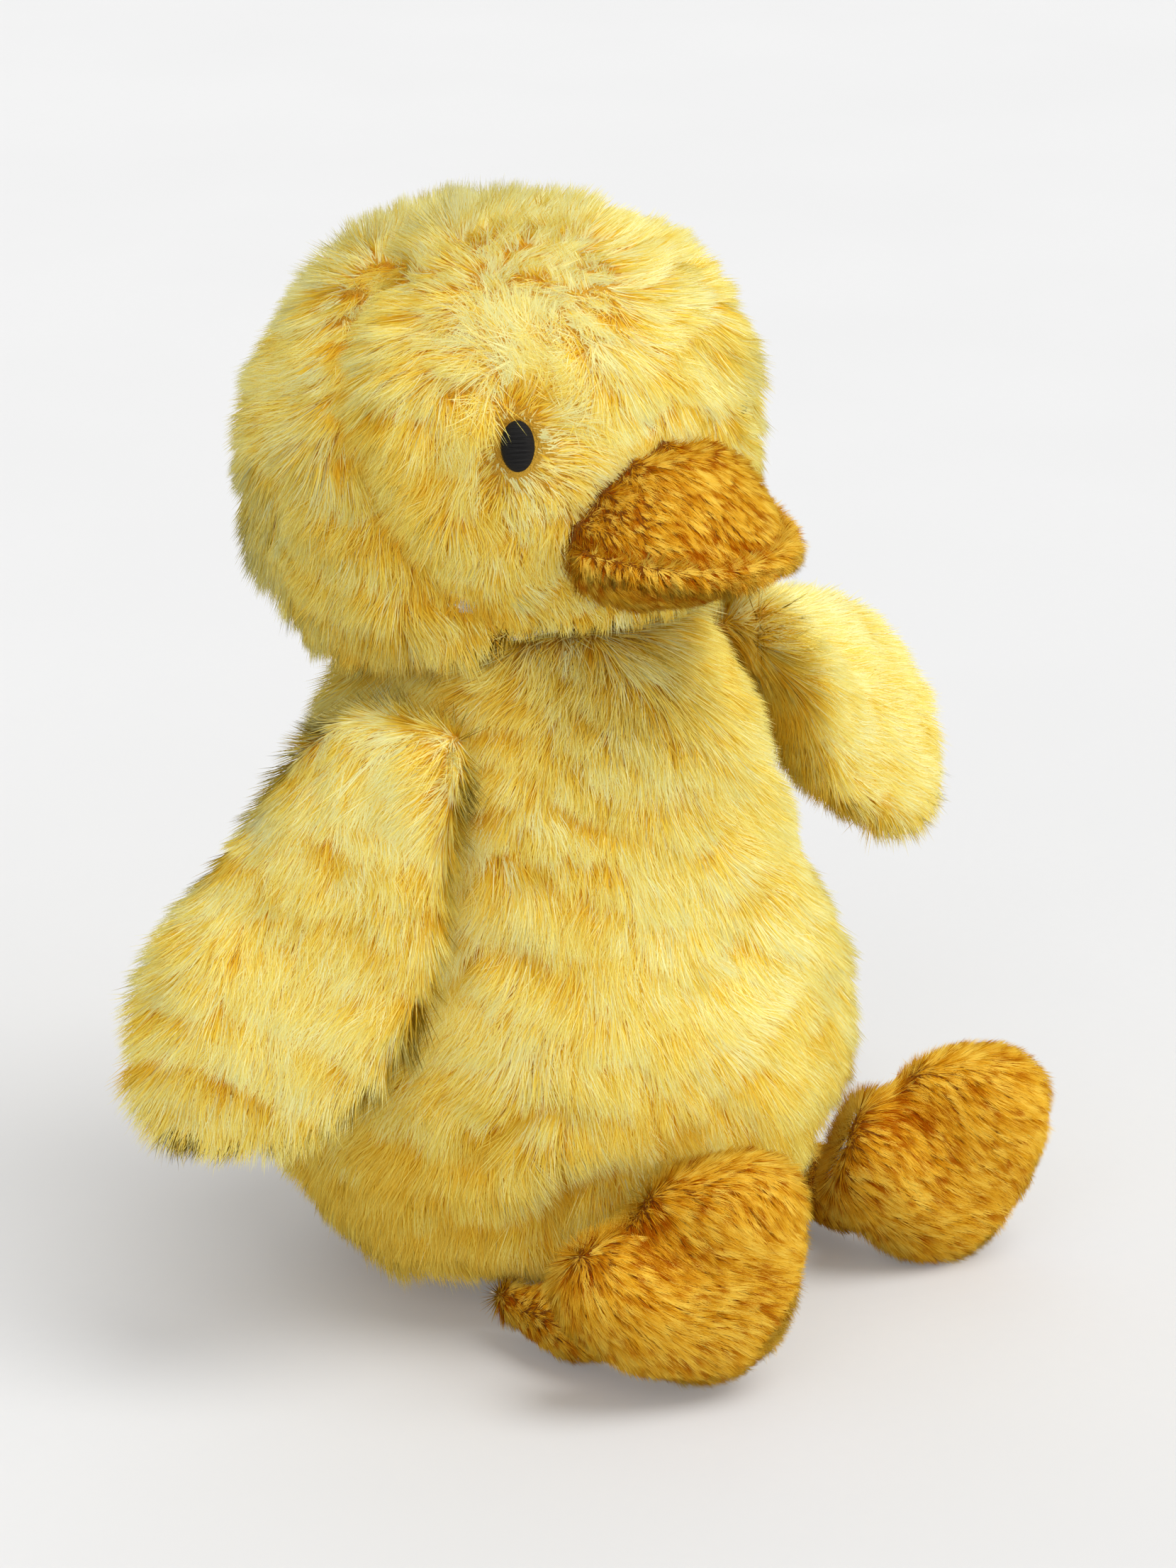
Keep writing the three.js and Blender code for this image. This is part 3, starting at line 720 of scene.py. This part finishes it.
def hairMesh(name, hair, style, rng):
    # a hair is a spike of three sides that runs to a point at its tip; its normals are mostly the cover's
    root, normal, flow = hair["root"], hair["normal"], hair["flow"]
    count = len(root)
    lean = np.radians(hair["lift"])[:, None]
    size = hair["length"][:, None]
    tip = root + size * (np.cos(lean) * flow + np.sin(lean) * normal) + hair["pull"]
    tip[:, 2] -= style["droop"] * hair["length"]
    way = unit(tip - root)
    side = unit(np.cross(way, normal))
    top = np.cross(side, way)
    spin = rng.uniform(0, 2 * math.pi, count)[:, None]
    wide = (style["width"] / 2 * rng.uniform(*eachHair["wide"], count))[:, None]
    points, shade, grid = np.empty((count, 4, 3)), np.empty((count, 4, 3)), np.empty((count, 4, 2))
    for k in range(3):
        angle = spin + k * 2 * math.pi / 3
        outward = np.cos(angle) * side + np.sin(angle) * top
        points[:, k] = root - normal * hairRoot + wide * outward
        shade[:, k] = style["soft"] * hair["shade"] + (1 - style["soft"]) * outward
        grid[:, k, 0], grid[:, k, 1] = hair["tone"] + bakeGrid["wide"] * (k - 1), bakeGrid["root"]
    points[:, 3], shade[:, 3] = tip, hair["shade"]
    grid[:, 3, 0], grid[:, 3, 1] = hair["tone"], bakeGrid["tip"]
    points[:, :, 2] = np.maximum(points[:, :, 2], floorGap["hair"])
    loops = (np.arange(count)[:, None] * 4 + np.array([0, 3, 1, 1, 3, 2, 2, 3, 0])).ravel()
    mesh = bpy.data.meshes.new(name)
    mesh.vertices.add(count * 4)
    mesh.loops.add(len(loops))
    mesh.polygons.add(count * 3)
    mesh.vertices.foreach_set("co", points.astype(np.float32).ravel())
    mesh.loops.foreach_set("vertex_index", loops.astype(np.int32))
    mesh.polygons.foreach_set("loop_start", np.arange(0, len(loops), 3, dtype=np.int32))
    smooth(mesh)
    layer = mesh.uv_layers.new(name="OFBake")
    layer.uv.foreach_set("vector", grid.reshape(-1, 2)[loops].astype(np.float32).ravel())
    mesh.update(calc_edges=True)
    free = mesh.attributes.new("custom_normal", "FLOAT_VECTOR", "POINT")  # kept as given, even at a thin tip
    free.data.foreach_set("vector", unit(shade).astype(np.float32).ravel())
    return mesh


def chosen(hair, mask):
    return {label: values[mask] for label, values in hair.items()}


def growPile(cover, groom, style, parts, material, body):
    root, normal, rng = rootsOn(cover, style["perSquareMm"], style["seed"])
    plain = {"tilt": np.zeros_like(root), "wild": np.zeros(len(root)), "share": np.ones(len(root))}
    hair = {"root": root, "normal": normal, **plain, **groom(root, normal)}
    share = hair.pop("share")
    hair = chosen(hair, rng.uniform(0, 1, len(root)) < share)
    hair = comb(hair, style, rng)
    total = 0
    for name, inside in parts.items():
        mask = inside(hair["root"], hair["normal"])
        mesh = hairMesh(name, chosen(hair, mask), style, rng)
        piece = newPiece(name, mesh, body, material)
        piece.visible_shadow = False  # light goes through open pile
        piece.shadow_terminator_geometry_offset = 0  # its normals aren't those of its sides
        total += int(mask.sum())
    print("pile on", cover.name, total, "hairs in", len(parts), "pieces")


# tufts have a pitch, a hold on their hairs, a swing, a spread of tones and a share of shingling
longStyle = {
    "perSquareMm": 7.2, "width": 0.00029, "stray": 11, "leanSpread": 4, "lengthSpread": 0.06,
    "tufts": ((0.0105, 0.03, 12, 0.06, 0.5), (0.005, 0.08, 12, 0.12, 0.5), (0.0016, 0.4, 10, 0.26, 0.0)),
    "hairTone": 0.18, "darkest": 0.16, "droop": 0.08, "soft": 0.85, "dome": 0.4,
}
headStyle = {
    **longStyle,
    "tufts": ((0.008, 0.06, 22, 0.06, 0.7), (0.0038, 0.14, 20, 0.16, 0.6), (0.0015, 0.4, 11, 0.26, 0.0)),
}
shortStyle = {
    "perSquareMm": 20, "width": 0.00018, "stray": 6, "leanSpread": 4, "lengthSpread": 0.1,
    "tufts": ((0.007, 0.0, 9, 0.05, 0.0), (0.001, 0.84, 14, 0.6, 0.0)),
    "hairTone": 0.14, "darkest": 0.02, "droop": 0.02, "soft": 0.7, "dome": 0.0,
}
paintedTopLight = 0.16  # painted light: long pile that faces up is paler, and pile that faces down darker


def plainNap(p, look, way):
    # lift, length and tone have a middle value, how far they wander from it, and that wander's seed and pitch
    lift, length, tone = (
        middle + by * waves(p, seed, pitch)
        for middle, by, seed, pitch in (look[label] for label in ("lift", "length", "tone"))
    )
    flow = way + sum(by * drift(p, seed, pitch) for by, seed, pitch in look["drifts"])
    return {"flow": flow, "lift": lift, "length": length, "tone": tone}


def tieredNap(p, n, look, way, phase, strength):
    # the free edge of a tier is cut short and upright, and its start under the next one lies bare; both add
    # to the lift, to the length as a share of it, and to the tone, which is a painted highlight at the edge
    # and painted shade at the bare start
    hair = plainNap(p, look, way)
    edge, bare = (1 - ease(*tierForm["edge"], phase)) * strength, ease(*tierForm["bare"], phase) * strength
    # painted light and shade: paler where the pile faces up, darker where it faces down
    hair["tone"] += paintedTopLight * n[:, 2]
    for label, part in (("edge", edge), ("bare", bare)):
        lift, share, tone = look[label]
        hair["lift"] += lift * part
        hair["length"] += share * look["length"][0] * part
        # painted highlight at a tier's free edge, painted shade where it starts bare under the next tier
        hair["tone"] += tone * part
    return hair, bare


torsoNap = {
    "lift": (27, 4, 67, 0.03), "length": (0.0088, 0.000704, 71, 0.02), "tone": (0.6, 0.06, 73, 0.05),
    # the tone of the free edge is a painted highlight, that of the bare start painted shade
    "edge": (14, -0.3, 0.1), "bare": (-11, 0.05, -0.44), "drifts": ((0.35, 61, 0.06), (0.25, 64, 0.02)),
    "under": {"turn": (-0.55, -0.9), "outward": 2, "lift": -8, "shorter": 0.45, "fewer": 0.7},
    "inHead": {"reach": (0.029, 0.036), "shorter": 0.6, "fewer": 0.95},
    # painted shade under the head and under the wings
    "paintedShade": {"nape": (0.06, 0.044), "pitHigh": 0.006, "pitWide": 0.022, "darker": 0.22},
    # painted shade towards the bottom of the body
    "low": {"z": (0.06, 0.015), "darker": 0.34}, "bareTilt": 0.2,
}


def groomTorso(p, n):
    under, inHead, paintedShade, low = (torsoNap[label] for label in ("under", "inHead", "paintedShade", "low"))
    below = ease(*under["turn"], n[:, 2])
    way = under["outward"] * below[:, None] * unit(p * np.array([1, 1, 0])) - upward
    hair, bare = tieredNap(p, n, torsoNap, way, *bellyTiers(p))
    fromHead = distance(p, headCentre)
    hidden = 1 - ease(*inHead["reach"], fromHead)
    # painted shade: darker pile just under the head
    dim = ease(*paintedShade["nape"], fromHead)
    for word in bothSides:
        # painted shade where the wing hangs over the body
        pit = middleOf(f"wing_{word}_inner") + upward * paintedShade["pitHigh"]
        dim = np.maximum(dim, hump(distance(p, pit), paintedShade["pitWide"]))
    hair["lift"] += under["lift"] * below
    hair["length"] *= (1 - under["shorter"] * below) * (1 - inHead["shorter"] * hidden)
    # painted shade: darker towards the bottom of the body, under the head and under the wings
    hair["tone"] -= low["darker"] * ease(*low["z"], p[:, 2]) + paintedShade["darker"] * dim
    share = (1 - under["fewer"] * below) * (1 - inHead["fewer"] * hidden)
    return {**hair, "share": share, "tilt": -upward * (torsoNap["bareTilt"] * bare)[:, None]}


growPile(torsoCover, groomTorso, {**longStyle, "seed": 101}, {
    "belly_pile_left": lambda p, n: (p[:, 1] < 0) & (p[:, 0] >= 0),
    "belly_pile_right": lambda p, n: (p[:, 1] < 0) & (p[:, 0] < 0),
    "back_pile_left": lambda p, n: (p[:, 1] >= 0) & (p[:, 0] >= 0),
    "back_pile_right": lambda p, n: (p[:, 1] >= 0) & (p[:, 0] < 0),
}, yellowPile, "torso")


headNap = {
    "lift": (31, 4, 87, 0.028), "length": (0.0088, 0.000704, 89, 0.02), "tone": (0.58, 0.06, 97, 0.045),
    # the tone of the free edge is a painted highlight, that of the bare start painted shade
    "edge": (12, -0.25, 0.08), "bare": (-10, 0.0, -0.36), "drifts": ((0.3, 83, 0.05), (0.3, 84, 0.018)),
    "tiers": {"pitch": 0.0135, "seed": 53, "share": 0.7, "fromBill": (1.2, 2.2)},
    "crown": {"turn": (0.4, 0.9), "lift": 20, "shorter": 0.16, "forward": 0.6, "from": (-0.036, -0.024)},
    # the seam's tone is painted shade in its groove
    "seam": {"wide": 0.004, "onCrown": 0.3, "shorter": 0.35, "tone": -0.3, "lift": -10},
    "bill": {"halfWide": 0.0205, "over": 0.0155, "under": 0.0115, "behind": -0.03, "none": 0.9,
             "shorter": 0.45, "shortTo": 1.9, "lift": -9, "flatTo": 1.7},
    "rim": {"bare": (0.0425, 0.046), "fewest": 0.1, "short": (0.044, 0.054), "shorter": 0.25},
}
eyeNap = {  # hair parts round the eyes; beside the left one it stands up towards the bill
    "halfWide": 0.0026, "halfTall": 0.0039, "behind": -0.02, "wide": 1.1, "outward": 1.8, "lift": 4,
    "shorter": 0.6, "tone": 0.06, "bare": {"left": 1.0, "right": 1.2},
    "upright": {"left": 62, "right": 0}, "uprightAt": 2, "uprightWide": 1.6,
}


def billRing(p):  # 1 at the edge of the bill's base and more outside it
    bill = headNap["bill"]
    gap = p - billBase
    tall = np.where(gap[:, 2] > 0, gap[:, 2] / bill["over"], gap[:, 2] / bill["under"])
    ring = np.hypot(gap @ sideways / bill["halfWide"], tall)
    return np.where(gap @ facing > bill["behind"], ring, 9)


def partRoundEye(hair, p, word):
    look, eye = eyeNap, eyes[word]
    out = unit(eye - headCentre)
    gap = p - eye
    flat = gap - out * (gap @ out)[:, None]
    across = np.linalg.norm(flat * np.array([1, 1, 0]), axis=1) / look["halfWide"]
    oval = np.hypot(across, flat[:, 2] / look["halfTall"])
    near = (gap @ out) > look["behind"]
    close = hump(np.maximum(oval - 1, 0), look["wide"]) * near
    inner = hump(oval - look["uprightAt"], look["uprightWide"]) * near * (flat @ sideways < 0)
    inner = inner * (look["upright"][word] > 0)
    hair["flow"] += look["outward"] * close[:, None] * unit(flat)
    hair["lift"] = np.maximum(hair["lift"] + look["lift"] * close, look["upright"][word] * inner)
    hair["length"] *= 1 - look["shorter"] * close * (1 - inner)
    hair["tone"] += look["tone"] * close
    hair["share"] = np.where((oval < look["bare"][word]) & near, 0, hair["share"])


def groomHead(p, n):
    tier, crown, seam, bill, rim = (headNap[label] for label in ("tiers", "crown", "seam", "bill", "rim"))
    ring, fromNeck = billRing(p), distance(p, neck)
    top = ease(*crown["turn"], n[:, 2])
    ahead = ease(*crown["from"], (p - headCentre) @ facing) * top  # the crown is brushed towards the face
    phase, strength = tiers(p, p[:, 2] - headCentre[2], tier["pitch"], tier["seed"])
    strength = strength * (1 - top) * ease(*tier["fromBill"], ring) * tier["share"]
    way = crown["forward"] * ahead[:, None] * facing - upward
    hair, _ = tieredNap(p, n, headNap, way, phase, strength)
    groove = hump(crownGap(p), seam["wide"]) * (1 - (1 - seam["onCrown"]) * top)
    length = hair["length"] - headNap["length"][0] * crown["shorter"] * top
    length = length * (1 - seam["shorter"] * groove)
    length = length * (1 - bill["shorter"] * (1 - ease(1.0, bill["shortTo"], ring)))
    hair["length"] = length * (1 - rim["shorter"] * (1 - ease(*rim["short"], fromNeck)))
    flat = bill["lift"] * (1 - ease(1.0, bill["flatTo"], ring))
    hair["lift"] += crown["lift"] * top + seam["lift"] * groove + flat
    # painted shade in the seam's groove
    hair["tone"] += seam["tone"] * groove
    share = rim["fewest"] + (1 - rim["fewest"]) * ease(*rim["bare"], fromNeck)
    hair["share"] = share * (ring > bill["none"])
    for word in bothSides:
        partRoundEye(hair, p, word)
    return {**hair, "wild": top}


growPile(headCover, groomHead, {**headStyle, "seed": 131}, {
    "face_pile_left": lambda p, n: (crownGap(p) < 0) & ((p - headCentre) @ sideways >= 0),
    "face_pile_right": lambda p, n: (crownGap(p) < 0) & ((p - headCentre) @ sideways < 0),
    "head_back_pile_left": lambda p, n: (crownGap(p) >= 0) & ((p - headCentre) @ sideways >= 0),
    "head_back_pile_right": lambda p, n: (crownGap(p) >= 0) & ((p - headCentre) @ sideways < 0),
}, yellowPile, "head")


wingNap = {
    "lift": (27, 4, 107, 0.03), "length": (0.0086, 0.000688, 109, 0.02), "tone": (0.6, 0.06, 113, 0.05),
    # the tone of the free edge is a painted highlight, that of the bare start painted shade
    "edge": (13, -0.28, 0.1), "bare": (-10, 0.0, -0.44), "drifts": ((0.3, 103, 0.04), (0.2, 104, 0.018)),
    "tiers": {"pitch": 0.0145, "seed": 59}, "down": 0.4,
    # the wing's side towards the body gets painted shade
    "shoulder": {"reach": 0.02, "outward": 1.8, "lift": -12}, "inside": {"turn": (0.0, -0.7), "darker": 0.22},
}


def groomWing(word):
    hinge, along, outer = wingFrame(word)
    tier, shoulder, inside = (wingNap[label] for label in ("tiers", "shoulder", "inside"))

    def groom(p, n):
        reach = (p - hinge) @ along
        near = 1 - ease(0.0, shoulder["reach"], reach)
        way = along - wingNap["down"] * upward + shoulder["outward"] * near[:, None] * outer
        hair, _ = tieredNap(p, n, wingNap, way, *tiers(p, -reach, tier["pitch"], tier["seed"]))
        hair["lift"] += shoulder["lift"] * near
        # painted shade on the side of the wing that faces the body
        hair["tone"] -= inside["darker"] * ease(*inside["turn"], n @ outer)
        return hair
    return groom


def wingSide(word, sign):
    outer = wingFrame(word)[2]
    return lambda p, n: (n @ outer > 0) == (sign > 0)


for word in bothSides:
    growPile(wingCovers[word], groomWing(word), {**longStyle, "seed": 151}, {
        f"wing_{word}_outer_pile": wingSide(word, 1), f"wing_{word}_inner_pile": wingSide(word, -1),
    }, yellowPile, f"wing_{word}")


billNap = {
    "lift": (20, 3, 167, 0.012), "length": (0.0036, 0.00036, 173, 0.008), "tone": (0.44, 0.05, 179, 0.02),
    "drifts": ((0.15, 163, 0.02),), "down": 0.6, "lowerDarker": 0.18, "fromHead": (0.039, 0.042),
    "paintedLipShade": {"high": 0.0026, "wide": 0.0011, "slope": 0.1, "darker": 0.4},  # painted shade: a dark line in the crease over the lip
}


def groomBill(p, n):
    line = billNap["paintedLipShade"]
    hair = plainNap(p, billNap, facing - billNap["down"] * upward)
    overLip = (p - billBase) @ upward + line["slope"] * ((p - billBase) @ facing)
    hair["tone"] -= billNap["lowerDarker"] * (p[:, 2] < billBase[2])
    # painted shade along the crease over the lip
    hair["tone"] -= line["darker"] * hump(overLip - line["high"], line["wide"])
    hair["share"] = ease(*billNap["fromHead"], distance(p, headCentre))  # none inside the head
    return hair


growPile(billCover, groomBill, {**shortStyle, "seed": 181}, {
    "upper_bill_pile": lambda p, n: p[:, 2] >= billBase[2],
    "lower_bill_pile": lambda p, n: p[:, 2] < billBase[2],
}, ochrePile, "head")


legNap = {
    "lift": (20, 3, 197, 0.012), "length": (0.0038, 0.00038, 199, 0.008), "tone": (0.44, 0.05, 211, 0.02),
    "drifts": ((0.15, 193, 0.02),),
}
footNap = {
    "lift": (22, 3, 227, 0.012), "length": (0.0042, 0.00042, 229, 0.008), "tone": (0.5, 0.05, 233, 0.02),
    # the dent's darker tone is painted shade
    "drifts": ((0.3, 223, 0.025),), "paintedDentShade": 0.3,
    "brushed": np.array([0.24, -0.83, -0.50]),  # the way both feet were stroked
}


def groomLeg(word):
    hip = np.array(joints[f"leg_{word}_swing"]["pos_m"])
    ankle = np.array(joints[f"foot_{word}_flex"]["pos_m"])
    return lambda p, n: plainNap(p, legNap, unit(ankle - hip))


def groomFoot(word):
    def groom(p, n):
        hair = plainNap(p, footNap, footNap["brushed"])
        # painted shade in the dent between the heel and the toes
        hair["tone"] -= footNap["paintedDentShade"] * footPart(word, "dent", p)
        return hair
    return groom


def wholePiece(p, n):
    return np.ones(len(p), bool)


for word in bothSides:
    growPile(legCovers[word], groomLeg(word), {**shortStyle, "seed": 241}, {
        f"leg_{word}_pile": wholePiece,
    }, ochrePile, f"leg_{word}")
    growPile(footCovers[word], groomFoot(word), {**shortStyle, "seed": 251}, {
        f"foot_{word}_front_pile": lambda p, n: n[:, 1] < 0,
        f"foot_{word}_rear_pile": lambda p, n: n[:, 1] >= 0,
    }, ochrePile, f"foot_{word}")


# eyes: a low dome of satin stitches that run across the oval
eyeStitch = {
    "rows": 11, "ridge": 0.00012, "rings": 24, "sides": 64, "dome": 0.0009, "skirt": 0.0022, "rim": 0.86,
    "sunk": {"left": 0.0036, "right": 0.0012}, "roughness": 0.55, "bands": 12, "wander": 0.6,
    "dark": srgb(10, 9, 9), "light": srgb(28, 26, 25), "strength": 0.5, "relief": 0.0003,
}


def eyeMaterial():
    material, tree, shader = startMaterial("black satin stitch", eyeStitch["roughness"])
    uv = tree.nodes.new("ShaderNodeUVMap")
    uv.uv_map = "stitch"
    wave = tree.nodes.new("ShaderNodeTexWave")
    wave.bands_direction = "Y"
    wave.inputs["Scale"].default_value = eyeStitch["bands"]
    wave.inputs["Distortion"].default_value = eyeStitch["wander"]
    tree.links.new(uv.outputs["UV"], wave.inputs["Vector"])
    tone = mixColour(tree, wave.outputs["Fac"], eyeStitch["dark"], eyeStitch["light"])
    tree.links.new(tone, shader.inputs["Base Color"])
    addRelief(tree, shader, wave.outputs["Fac"], eyeStitch)
    return material


def sewnEye(word, material):
    # polar grid over the oval: the height falls as a low dome to the rim, with a ridge for each row of
    # stitches, and then a skirt goes in
    points = coordsOf(nodes["eye_" + word].data)
    centre, rings, sides = eyes[word], eyeStitch["rings"], eyeStitch["sides"]
    out = unit(centre - headCentre)
    tallAxis = unit(upward - out * out[2])
    wideAxis = np.cross(tallAxis, out)
    halfWide = np.abs((points - centre) @ wideAxis).max()
    halfTall = np.abs((points - centre) @ tallAxis).max()
    outer = ((points - centre) @ out).max() - eyeStitch["sunk"][word]
    v = np.linspace(0, 1, rings)[:, None]
    a = np.linspace(0, 2 * math.pi, sides, endpoint=False)[None]
    reach = np.minimum(v / eyeStitch["rim"], 1)
    x, y = halfWide * reach * np.cos(a), halfTall * reach * np.sin(a)
    ridge = eyeStitch["ridge"] * np.cos(y / halfTall * math.pi * eyeStitch["rows"]) * (1 - reach ** 4)
    height = outer - eyeStitch["dome"] * reach ** 3 + ridge
    height = height - eyeStitch["skirt"] * ease(eyeStitch["rim"], 1, v)
    grid = centre + x[..., None] * wideAxis + y[..., None] * tallAxis + height[..., None] * out
    index = np.arange(rings * sides).reshape(rings, sides)
    following = np.roll(index, -1, 1)
    faces = np.stack([index[:-1], index[1:], following[1:], following[:-1]], -1).reshape(-1, 4)
    mesh = bpy.data.meshes.new(f"eye_{word}_stitch")
    mesh.from_pydata(grid.reshape(-1, 3), [], faces)
    layer = mesh.uv_layers.new(name="stitch")
    flat = np.stack([(x / halfWide + 1) / 2, (y / halfTall + 1) / 2], -1).reshape(-1, 2)
    layer.uv.foreach_set("vector", flat[faces.ravel()].astype(np.float32).ravel())
    work = bmesh.new()
    work.from_mesh(mesh)
    bmesh.ops.remove_doubles(work, verts=work.verts, dist=1e-6)
    bmesh.ops.recalc_face_normals(work, faces=work.faces)
    if work.faces[0].normal.dot(Vector(out)) < 0:
        bmesh.ops.reverse_faces(work, faces=work.faces)
    work.to_mesh(mesh)
    work.free()
    smooth(mesh)
    piece = newPiece(f"eye_{word}_stitch", mesh, "head", material)
    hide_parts("eye_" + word)


blackStitch = eyeMaterial()
for word in bothSides:
    sewnEye(word, blackStitch)
print("eyes sewn")


# lip seam: a rolled edge between the two halves of the bill
lipSeam = {
    "halfWide": 0.0203, "root": 0.016, "reach": 0.0318, "radius": 0.0015, "pitch": 6, "stitch": 0.0021,
    "steps": 181, "sides": 14, "gather": 0.1, "inward": 0.56, "bend": 1.6, "round": 2.6,
}
lipNap = {
    "lift": (26, 4, 267, 0.012), "length": (0.003, 0.00036, 269, 0.008), "tone": (0.54, 0.08, 271, 0.016),
    "drifts": ((0.25, 263, 0.015),), "down": 0.5, "outward": 0.8,
}


def rolledLip(material):
    # a round profile carried along the lip's outline, a fuller half circle: the half width goes with the root
    # of 1 less a power of the length; the profile swells a little at every stitch
    t = np.linspace(-1, 1, lipSeam["steps"])
    along = 1 - np.abs(t) ** lipSeam["bend"] * lipSeam["inward"]
    wide = lipSeam["halfWide"] * np.sqrt(np.maximum(1 - along ** lipSeam["round"], 0)) * np.sign(t)
    tilt = math.radians(lipSeam["pitch"])
    forward = facing * math.cos(tilt) - upward * math.sin(tilt)
    rising = upward * math.cos(tilt) + facing * math.sin(tilt)
    reach = lipSeam["reach"] * along - lipSeam["root"]
    path = billBase + reach[:, None] * forward + wide[:, None] * sideways
    across = unit(np.cross(unit(np.gradient(path, axis=0)), rising))
    arc = np.r_[0, np.cumsum(np.linalg.norm(np.diff(path, axis=0), axis=1))]
    a = np.linspace(0, 2 * math.pi, lipSeam["sides"], endpoint=False)[None, :, None]
    size = lipSeam["radius"] * (1 + lipSeam["gather"] * np.cos(2 * math.pi * arc / lipSeam["stitch"]))
    grid = path[:, None] + size[:, None, None] * (np.cos(a) * across[:, None] + np.sin(a) * rising)
    index = np.arange(grid.shape[0] * grid.shape[1]).reshape(grid.shape[:2])
    following = np.roll(index, -1, 1)
    faces = np.stack([index[:-1], following[:-1], following[1:], index[1:]], -1).reshape(-1, 4)
    mesh = bpy.data.meshes.new("lip_seam")
    mesh.from_pydata(grid.reshape(-1, 3), [], [*faces.tolist(), index[0].tolist(), index[-1].tolist()])
    work = bmesh.new()
    work.from_mesh(mesh)
    bmesh.ops.recalc_face_normals(work, faces=work.faces)
    work.to_mesh(mesh)
    work.free()
    smooth(mesh)
    return newPiece("lip_seam", mesh, "head", material)


def groomLip(p, n):
    return plainNap(p, lipNap, facing - lipNap["down"] * upward + lipNap["outward"] * unit(p - billBase))


lip = rolledLip(ochreBacking)
growPile(lip, groomLip, {**shortStyle, "seed": 277}, {
    "lip_pile": wholePiece,
}, ochrePile, "head")


# pale floor, soft light
stage = {
    "size": 14, "floor": srgb(222, 222, 222), "patches": srgb(220, 220, 220),
    "backdrop": (0.855, 0.855, 0.855, 1), "world": 0.52, "shown": 0.12,
}
lamps = {  # how far to the camera's right, up and towards the camera; strength and width in degrees
    "key": {"way": (0.35, 1.0, 0.1), "strength": 1.45, "angle": 35},
    "side": {"way": (1.0, 0.5, 0.4), "strength": 0.95, "angle": 60},
    "front": {"way": (-0.3, 0.35, 1.0), "strength": 0.75, "angle": 60},
    "rear": {"way": (-0.2, 0.6, -0.9), "strength": 0.45, "angle": 60},
}


def shownTo(tree):  # 1 for what the camera sees, straight, in a mirror or through glass
    path = tree.nodes.new("ShaderNodeLightPath")
    seen = path.outputs["Is Camera Ray"]
    for label in ("Is Glossy Ray", "Is Transmission Ray"):
        both = tree.nodes.new("ShaderNodeMath")
        both.operation = "MAXIMUM"
        tree.links.new(seen, both.inputs[0])
        tree.links.new(path.outputs[label], both.inputs[1])
        seen = both.outputs[0]
    return seen


def addFloor():
    half = stage["size"] / 2
    mesh = bpy.data.meshes.new("floor")
    corners = [(-half, -half, 0), (half, -half, 0), (half, half, 0), (-half, half, 0)]
    mesh.from_pydata(corners, [], [(0, 1, 2, 3)])
    floor = bpy.data.objects.new("floor", mesh)
    scene.collection.objects.link(floor)
    material = mottledMaterial("pale floor", {
        "light": stage["floor"], "dark": stage["patches"], "clouds": 8, "grain": 400,
        "roughness": 0.9, "strength": 0.02, "relief": 0.0002,
    })
    tree = material.node_tree
    glow = tree.nodes.new("ShaderNodeEmission")
    glow.inputs["Color"].default_value = stage["backdrop"]
    part = tree.nodes.new("ShaderNodeMath")
    part.operation = "MULTIPLY"
    part.inputs[1].default_value = stage["shown"]
    blend = tree.nodes.new("ShaderNodeMixShader")
    tree.links.new(shownTo(tree), part.inputs[0])
    tree.links.new(part.outputs[0], blend.inputs["Fac"])
    tree.links.new(tree.nodes["Principled BSDF"].outputs[0], blend.inputs[1])
    tree.links.new(glow.outputs[0], blend.inputs[2])
    tree.links.new(blend.outputs[0], tree.nodes["Material Output"].inputs["Surface"])
    mesh.materials.append(material)


def addWorld():
    world = bpy.data.worlds.new("studio")
    world.use_nodes = True
    scene.world = world
    tree = world.node_tree
    light = tree.nodes["Background"]
    light.inputs["Color"].default_value = (1, 1, 1, 1)
    light.inputs["Strength"].default_value = stage["world"]
    shown = tree.nodes.new("ShaderNodeBackground")
    shown.inputs["Color"].default_value = stage["backdrop"]
    choose = tree.nodes.new("ShaderNodeMixShader")
    tree.links.new(shownTo(tree), choose.inputs["Fac"])
    tree.links.new(light.outputs[0], choose.inputs[1])
    tree.links.new(shown.outputs[0], choose.inputs[2])
    tree.links.new(choose.outputs[0], tree.nodes["World Output"].inputs["Surface"])


def addLamps():
    right, back = viewAxes(cameraView["azimuth"], 0)
    for name, lamp in lamps.items():
        r, u, b = lamp["way"]
        way = (right * r + Vector((0, 0, u)) + back * b).normalized()
        data = bpy.data.lights.new(name, "SUN")
        data.energy, data.angle = lamp["strength"], math.radians(lamp["angle"])
        light = bpy.data.objects.new(name, data)
        light.location = way
        light.rotation_mode = "QUATERNION"
        light.rotation_quaternion = (-way).to_track_quat("-Z", "Y")
        scene.collection.objects.link(light)


addFloor()
addWorld()
addLamps()
print("stage set:", len(lamps), "lamps")
